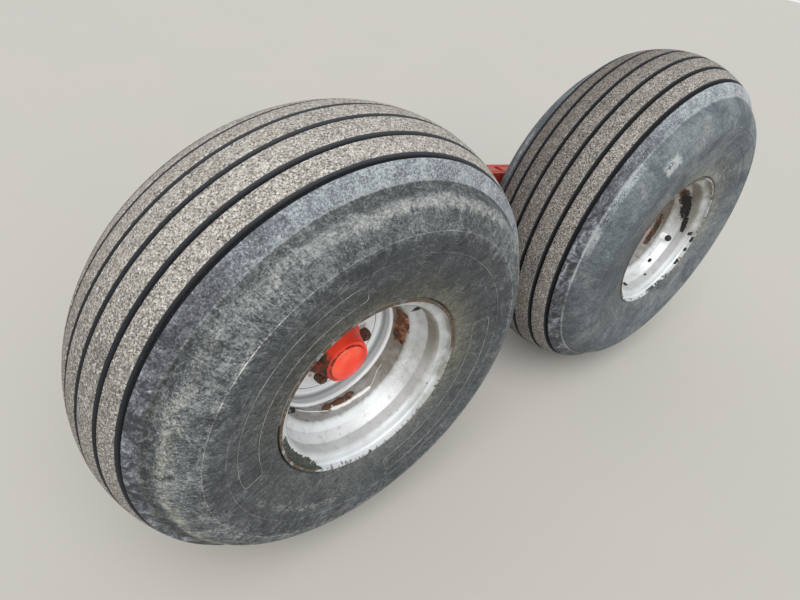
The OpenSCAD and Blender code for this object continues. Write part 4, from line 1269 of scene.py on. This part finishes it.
def beam_outline():
    """The crest's end, the points of a round end and the belly's end of the beam's outline."""
    def slopes(half, height):
        run = HALF_PITCH - half
        return math.atan2(height, run), math.asin(END_R / math.hypot(run, height))

    up, touch = slopes(CREST_HALF, CREST_Z - AXLE_Z)
    top = up - touch
    down, touch = slopes(CREST_HALF, AXLE_Z - BELLY_Z)
    belly = touch - down
    first, last = math.pi / 2 - top, -math.pi / 2 - belly
    end = [first + (last - first) * k / 24 for k in range(25)]
    round_end = [(HALF_PITCH + END_R * math.cos(a), AXLE_Z + END_R * math.sin(a)) for a in end]
    return (CREST_HALF, CREST_Z), round_end, (CREST_HALF, BELLY_Z)


def line_in_well(spots, lift, steps=3):
    """Points along a repair's line, lifted off the well of the front rim."""
    at, radius = WHEEL_AT["front"], WELL_R - lift
    between = [[a + (b - a) * k / steps for a, b in zip(here, there)]
               for here, there in zip(spots, spots[1:]) for k in range(steps)]
    return [(at.x + radius * math.cos(math.radians(turn)), at.y + y / 1000,
             at.z + radius * math.sin(math.radians(turn))) for turn, y in between + [spots[-1]]]


def soft_sky():
    """A sky that is pale to look at and softer as a light."""
    world = bpy.data.worlds.new("soft_sky")
    world.use_nodes = True
    tree = world.node_tree
    tree.nodes.clear()
    skies = []
    for tint, strength in (SKY_LIGHT, SKY_SEEN):
        sky = tree.nodes.new("ShaderNodeBackground")
        sky.inputs["Color"].default_value = (*tint, 1)
        sky.inputs["Strength"].default_value = strength
        skies.append(sky)
    rays = tree.nodes.new("ShaderNodeLightPath")
    seen = rays.outputs["Is Camera Ray"]
    for kind in ("Glossy", "Transmission"):
        step = tree.nodes.new("ShaderNodeMath")
        step.operation = "MAXIMUM"
        tree.links.new(seen, step.inputs[0])
        tree.links.new(rays.outputs[f"Is {kind} Ray"], step.inputs[1])
        seen = step.outputs[0]
    share = tree.nodes.new("ShaderNodeMixShader")
    output = tree.nodes.new("ShaderNodeOutputWorld")
    for socket, end in zip(share.inputs, (seen, skies[0].outputs[0], skies[1].outputs[0])):
        tree.links.new(end, socket)
    tree.links.new(share.outputs[0], output.inputs[0])
    return world


# Operators


class WHEELUNIT_OT_stage(bpy.types.Operator):
    """Lays the pale floor, sets the soft light and places the camera"""
    bl_idname = "wheelunit.stage"
    bl_label = "Stage"

    def execute(self, context):
        nothing_selected()
        bpy.ops.mesh.primitive_circle_add(vertices=96, radius=FLOOR_R, fill_type="NGON",
                                          location=(0, 0, GROUND_Z - FLOOR_GAP))
        floor = start("floor")
        bpy.ops.object.mode_set(mode="EDIT")
        bpy.ops.mesh.select_all(action="SELECT")
        bpy.ops.mesh.inset(thickness=FLOOR_BORDER, depth=0)
        bpy.ops.object.mode_set(mode="OBJECT")
        bpy.ops.object.transform_apply(location=True)
        floor.data.materials.append(pale_floor())

        context.scene.world = soft_sky()

        bpy.ops.object.light_add(type="SUN", location=SUN_AT)
        sun = bpy.context.object
        sun.name = "overhead_light"
        sun.rotation_euler = Vector(SUN_FROM).to_track_quat("Z", "Y").to_euler()
        sun.data.energy = SUN_ENERGY
        sun.data.angle = math.radians(SUN_SPREAD)
        sun.data.color = SUN_TINT

        bpy.ops.object.camera_add(location=CAMERA_AT, rotation=[math.radians(turn) for turn in CAMERA_TURN])
        camera = bpy.context.object
        camera.name = "photo_camera"
        camera.data.sensor_fit = "HORIZONTAL"
        camera.data.sensor_width = CAMERA_SENSOR
        camera.data.lens = CAMERA_LENS
        context.scene.camera = camera
        context.scene.view_settings.view_transform = "Standard"
        return {"FINISHED"}


class WHEELUNIT_OT_tyres(bpy.types.Operator):
    """Turns the two tyres with their grooved treads and the plain raised outlines on their sidewalls"""
    bl_idname = "wheelunit.tyres"
    bl_label = "Tyres"

    def execute(self, context):
        front_at, shift = WHEEL_AT["front"], Matrix.Translation((PITCH, 0, 0))
        front = turned("front_tyre_rubber", tyre_profile(sizes().groove_edge), front_at, TYRE_STEPS, smooth=35)
        rear = copied(front, "rear_tyre_rubber", shift)
        for side, tyre, seed in zip(SIDES, (front, rear), TYRE_SEEDS):
            dress(tyre, tyre_rubber(side, seed), f"wheel_{side}", "tyre", f"{side}_tyre")

        panel = bead("outline", outline_points(front_at), sizes().outline_r, sides=1)
        facing = copied(panel, "outline_far", turned_at(front_at, math.pi, "Z"))
        pieces = [panel, facing]
        pieces += [copied(piece, "outline_opposite", about(front_at, 180)) for piece in (panel, facing)]
        front = joined("front_sidewall_outlines", pieces)
        rear = copied(front, "rear_sidewall_outlines", shift @ about(front_at, REAR_OUTLINE_TURN))
        dress(front, outline_rubber("front_outline_rubber", front_at, 2.0), "wheel_front", "tyre")
        dress(rear, outline_rubber("rear_outline_rubber", WHEEL_AT["rear"], 9.0, 0.8), "wheel_rear", "tyre")
        return {"FINISHED"}


class WHEELUNIT_OT_rims(bpy.types.Operator):
    """Paints the rims and their discs, and lays the weld between them"""
    bl_idname = "wheelunit.rims"
    bl_label = "Rims"

    def execute(self, context):
        for side, seed in zip(SIDES, RIM_SEEDS):
            material = rim_paint(side, seed)
            paint(f"{side}_rim", material)
            paint(f"{side}_disc", material)
            rings = [ring_bead(name, WHEEL_AT[side] + Vector((0, y, 0)), DISC_WELD_R, radius, ripple)
                     for name, y, radius, ripple in (
                         ("disc_weld_outer", DISC_FLANGE_END - 0.0022, 0.0028, 0.0052),
                         ("disc_weld_inner", BOLT_FACE + 0.0105, 0.0032, 0.0056))]
            dress(joined(f"{side}_disc_welds", rings), material, f"wheel_{side}", "rim_paint")
        return {"FINISHED"}


class WHEELUNIT_OT_rim_repair(bpy.types.Operator):
    """Adds the pale bar, the rusty lump of weld and the thin scar in the front rim's well"""
    bl_idname = "wheelunit.rim_repair"
    bl_label = "Rim repair"

    def execute(self, context):
        at = WHEEL_AT["front"]
        bar = joined("front_rim_bar", [bead("bar", line_in_well(BAR_LINE, BAR_LIFT), BAR_R, BAR_RIPPLE, sides=3)])
        modified(bar, "REMESH", mode="VOXEL", voxel_size=BAR_GRAIN, use_smooth_shade=True)
        scar = joined("front_rim_scar", [bead("scar", line_in_well(line, SCAR_LIFT), radius, SCAR_RIPPLE)
                                         for radius, line in SCAR_LINES])
        lump = joined("front_rim_rusty_weld", [bead("crumb", line_in_well(line, CRUMB_LIFT), CRUMB_R, CRUMB_RIPPLE)
                                               for line in CRUMB_LINES])
        modified(lump, "REMESH", mode="VOXEL", voxel_size=CRUMB_GRAIN, use_smooth_shade=True)
        pale = flaked_paint("front_rim_flaked_paint", at, 3.0)
        dress(bar, pale, "wheel_front", "rim_paint")
        dress(scar, pale, "wheel_front", "rim_paint")
        dress(lump, rusted_steel("front_rim_rust_lump", at, 8.0, 125, 0.003), "wheel_front", "rusty_steel")
        return {"FINISHED"}


class WHEELUNIT_OT_hubs(bpy.types.Operator):
    """Paints the hubs, their caps, seals and stub axles"""
    bl_idname = "wheelunit.hubs"
    bl_label = "Hubs"

    def execute(self, context):
        for side, seed in zip(SIDES, HUB_SEEDS):
            at = WHEEL_AT[side]
            paint(f"{side}_hub", hub_paint(side, seed))
            paint(f"{side}_hub_cap", cap_paint(side, seed + 5))
            paint(f"{side}_hub_seal", black_rubber(f"{side}_seal_rubber", at, seed))
            paint(f"{side}_spindle", greasy_steel(f"{side}_axle_steel", at, seed))
        return {"FINISHED"}


class WHEELUNIT_OT_nuts(bpy.types.Operator):
    """Models one wheel nut with its washer and stud, and sets eight round each hub"""
    bl_idname = "wheelunit.nuts"
    bl_label = "Wheel nuts"

    def execute(self, context):
        nut = wheel_nut(sizes().thread_pitch)
        for side, seed in zip(SIDES, HUB_SEEDS):
            at = WHEEL_AT[side]
            first = Matrix.Translation(at + Vector((STUD_CIRCLE_R, 0, 0)))
            # Each nut stopped at an angle of its own when it was driven home
            ring = [copied(nut, "nut", about(at, FIRST_STUD + 360 / STUD_COUNT * k) @ first
                           @ Matrix.Rotation(math.radians(17 + 41 * k + seed * 7), 4, "Y"))
                    for k in range(STUD_COUNT)]
            dress(joined(f"{side}_wheel_nuts", ring), rusted_steel(f"{side}_nut_steel", at, seed),
                  f"wheel_{side}", "rusty_steel", f"{side}_nuts")
        discard(nut)
        return {"FINISHED"}


class WHEELUNIT_OT_valves(bpy.types.Operator):
    """Models the tyre valve and stands one in each rim"""
    bl_idname = "wheelunit.valves"
    bl_label = "Valves"

    def execute(self, context):
        rubber, stem = valve_at_origin()
        for side, seed in zip(SIDES, VALVE_SEEDS):
            at = WHEEL_AT[side]
            place = (about(at, VALVE_AT[side]) @ Matrix.Translation(at + Vector((*VALVE_FOOT, 0)))
                     @ Matrix.Rotation(math.radians(VALVE_TILT - 90), 4, "Z"))
            dress(copied(rubber, f"{side}_valve_boot", place), black_rubber(f"{side}_valve_rubber", at, seed),
                  f"wheel_{side}", "rubber", f"{side}_valve")
            dress(copied(stem, f"{side}_valve_stem", place), plated_steel(f"{side}_stem_brass", at, seed),
                  f"wheel_{side}", "fitting_steel", f"{side}_valve")
        discard(rubber, stem)
        return {"FINISHED"}


class WHEELUNIT_OT_beam(bpy.types.Operator):
    """Paints the beam, its sleeves and pivot tube"""
    bl_idname = "wheelunit.beam"
    bl_label = "Beam"

    def execute(self, context):
        material = beam_paint()
        for node in ("beam_outer_side", "beam_inner_side", "beam_top_strip", "beam_bottom_strip", "front_sleeve",
                     "rear_sleeve", "pivot_tube"):
            paint(node, material)
        for node in ("pivot_bush_outer", "pivot_bush_inner"):
            paint(node, bronze(f"{node}_bronze", 2.0))
        return {"FINISHED"}


class WHEELUNIT_OT_welds(bpy.types.Operator):
    """Lays the weld beads along the beam's seams and round its sleeves and tube"""
    bl_idname = "wheelunit.welds"
    bl_label = "Beam welds"

    def execute(self, context):
        radius, ripple = sizes().weld_r, sizes().ripple
        material = weld_metal("beam_weld_metal", tints().beam_red, seed=5.0)
        crest, round_end, belly = beam_outline()
        sink = radius * SEAM_SINK
        share = (END_R - sink) / END_R
        sunk_end = [(HALF_PITCH + (x - HALF_PITCH) * share, AXLE_Z + (z - AXLE_Z) * share) for x, z in round_end]

        def seam(here, there, y, lift):
            return straight_bead("seam", *[(x, y, z + lift) for x, z in (here, there)], radius, ripple)

        for tag, y in (("outer", -STRIP_HALF), ("inner", STRIP_HALF)):
            seams = []
            for mirror in (-1, 1):
                for here, there, lift in ((crest, round_end[0], -sink), (belly, round_end[-1], sink)):
                    seams.append(seam(*[(mirror * x, z) for x, z in (here, there)], y, lift))
                seams.append(bead("seam", [(mirror * x, y, z) for x, z in sunk_end], radius, ripple, cuts=2))
            for z, lift in ((CREST_Z, -sink), (BELLY_Z, sink)):
                seams.append(seam((-CREST_HALF, z), (CREST_HALF, z), y, lift))
            dress(joined(f"beam_seam_welds_{tag}", seams), material, "beam", "red_paint")
        rings = []
        for y in (-BEAM_HALF, BEAM_HALF):
            rings.append(ring_bead("tube_weld", (0, y + math.copysign(0.0012, y), 0), TUBE_R + 0.0012,
                                   radius * 1.15, ripple))
            for x in (-HALF_PITCH, HALF_PITCH):
                rings.append(ring_bead("sleeve_weld", (x, y + math.copysign(0.001, y), AXLE_Z), SLEEVE_R + 0.001,
                                       radius * 0.8, ripple))
        dress(joined("beam_ring_welds", rings), material, "beam", "red_paint")
        ends = [ring_bead("axle_weld", (x, BEAM_HALF + SLEEVE_OUT + 0.0002, AXLE_Z), AXLE_WELD_R, 0.0022, 0.004)
                for x in (-HALF_PITCH, HALF_PITCH)]
        dress(joined("axle_end_welds", ends), material, "beam", "red_paint")
        return {"FINISHED"}


class WHEELUNIT_OT_grease_fitting(bpy.types.Operator):
    """Turns the grease fitting on the pivot tube"""
    bl_idname = "wheelunit.grease_fitting"
    bl_label = "Grease fitting"

    def execute(self, context):
        body = turned(
            "fitting",
            [(0.0075, 0.0), (0.0075, 0.0039), (0.0, 0.0039), (0.0, 0.0030), (-0.0048, 0.0030), (-0.0054, 0.0034),
             (-0.0068, 0.0032), (-0.0084, 0.0023), (-0.0112, 0.0022), (-0.0124, 0.0030), (-0.0140, 0.0032),
             (-0.0150, 0.0026), (-0.0153, 0.0012), (-0.0147, 0.0008), (-0.0147, 0.0)],
            steps=32, closed=False)
        six_sides = modified(hexagon("fitting_hexagon", 0.0064, -0.005, 0.0), "BEVEL", width=0.0006, segments=2)
        bpy.ops.object.shade_smooth_by_angle(angle=math.radians(28))
        fitting = joined("pivot_grease_nipple", [body, six_sides])
        placed(fitting, Matrix.Translation(FITTING_AT) @ Matrix.Rotation(-math.pi / 2, 4, "X"))
        dress(fitting, plated_steel("fitting_plate", FITTING_AT, 6.0), "beam", "fitting_steel",
              "pivot_grease_fitting")
        return {"FINISHED"}


class WHEELUNIT_PT_panel(bpy.types.Panel):
    """Lists the steps that dress the wheel unit"""
    bl_idname = "WHEELUNIT_PT_panel"
    bl_label = "Wheel Unit"
    bl_space_type = "VIEW_3D"
    bl_region_type = "UI"
    bl_category = "Wheel Unit"

    def draw(self, context):
        for step in STEPS:
            self.layout.operator(step.bl_idname)
        for group in (context.scene.wheel_unit_sizes, context.scene.wheel_unit_colours):
            box = self.layout.box()
            for key in group.__annotations__:
                box.prop(group, key)


STEPS = (WHEELUNIT_OT_stage, WHEELUNIT_OT_tyres, WHEELUNIT_OT_rims, WHEELUNIT_OT_rim_repair,
         WHEELUNIT_OT_hubs, WHEELUNIT_OT_nuts, WHEELUNIT_OT_valves, WHEELUNIT_OT_beam, WHEELUNIT_OT_welds,
         WHEELUNIT_OT_grease_fitting)
CLASSES = (WheelUnitSizes, WheelUnitColours, *STEPS, WHEELUNIT_PT_panel)


def register():
    for item in CLASSES:
        bpy.utils.register_class(item)
    bpy.types.Scene.wheel_unit_sizes = bpy.props.PointerProperty(type=WheelUnitSizes)
    bpy.types.Scene.wheel_unit_colours = bpy.props.PointerProperty(type=WheelUnitColours)


def unregister():
    del bpy.types.Scene.wheel_unit_colours
    del bpy.types.Scene.wheel_unit_sizes
    for item in reversed(CLASSES):
        bpy.utils.unregister_class(item)


def main():
    register()
    bpy.ops.wheelunit.stage()
    bpy.ops.wheelunit.tyres()
    bpy.ops.wheelunit.rims()
    bpy.ops.wheelunit.rim_repair()
    bpy.ops.wheelunit.hubs()
    bpy.ops.wheelunit.nuts()
    bpy.ops.wheelunit.valves()
    bpy.ops.wheelunit.beam()
    bpy.ops.wheelunit.welds()
    bpy.ops.wheelunit.grease_fitting()


if __name__ == "__main__":
    main()
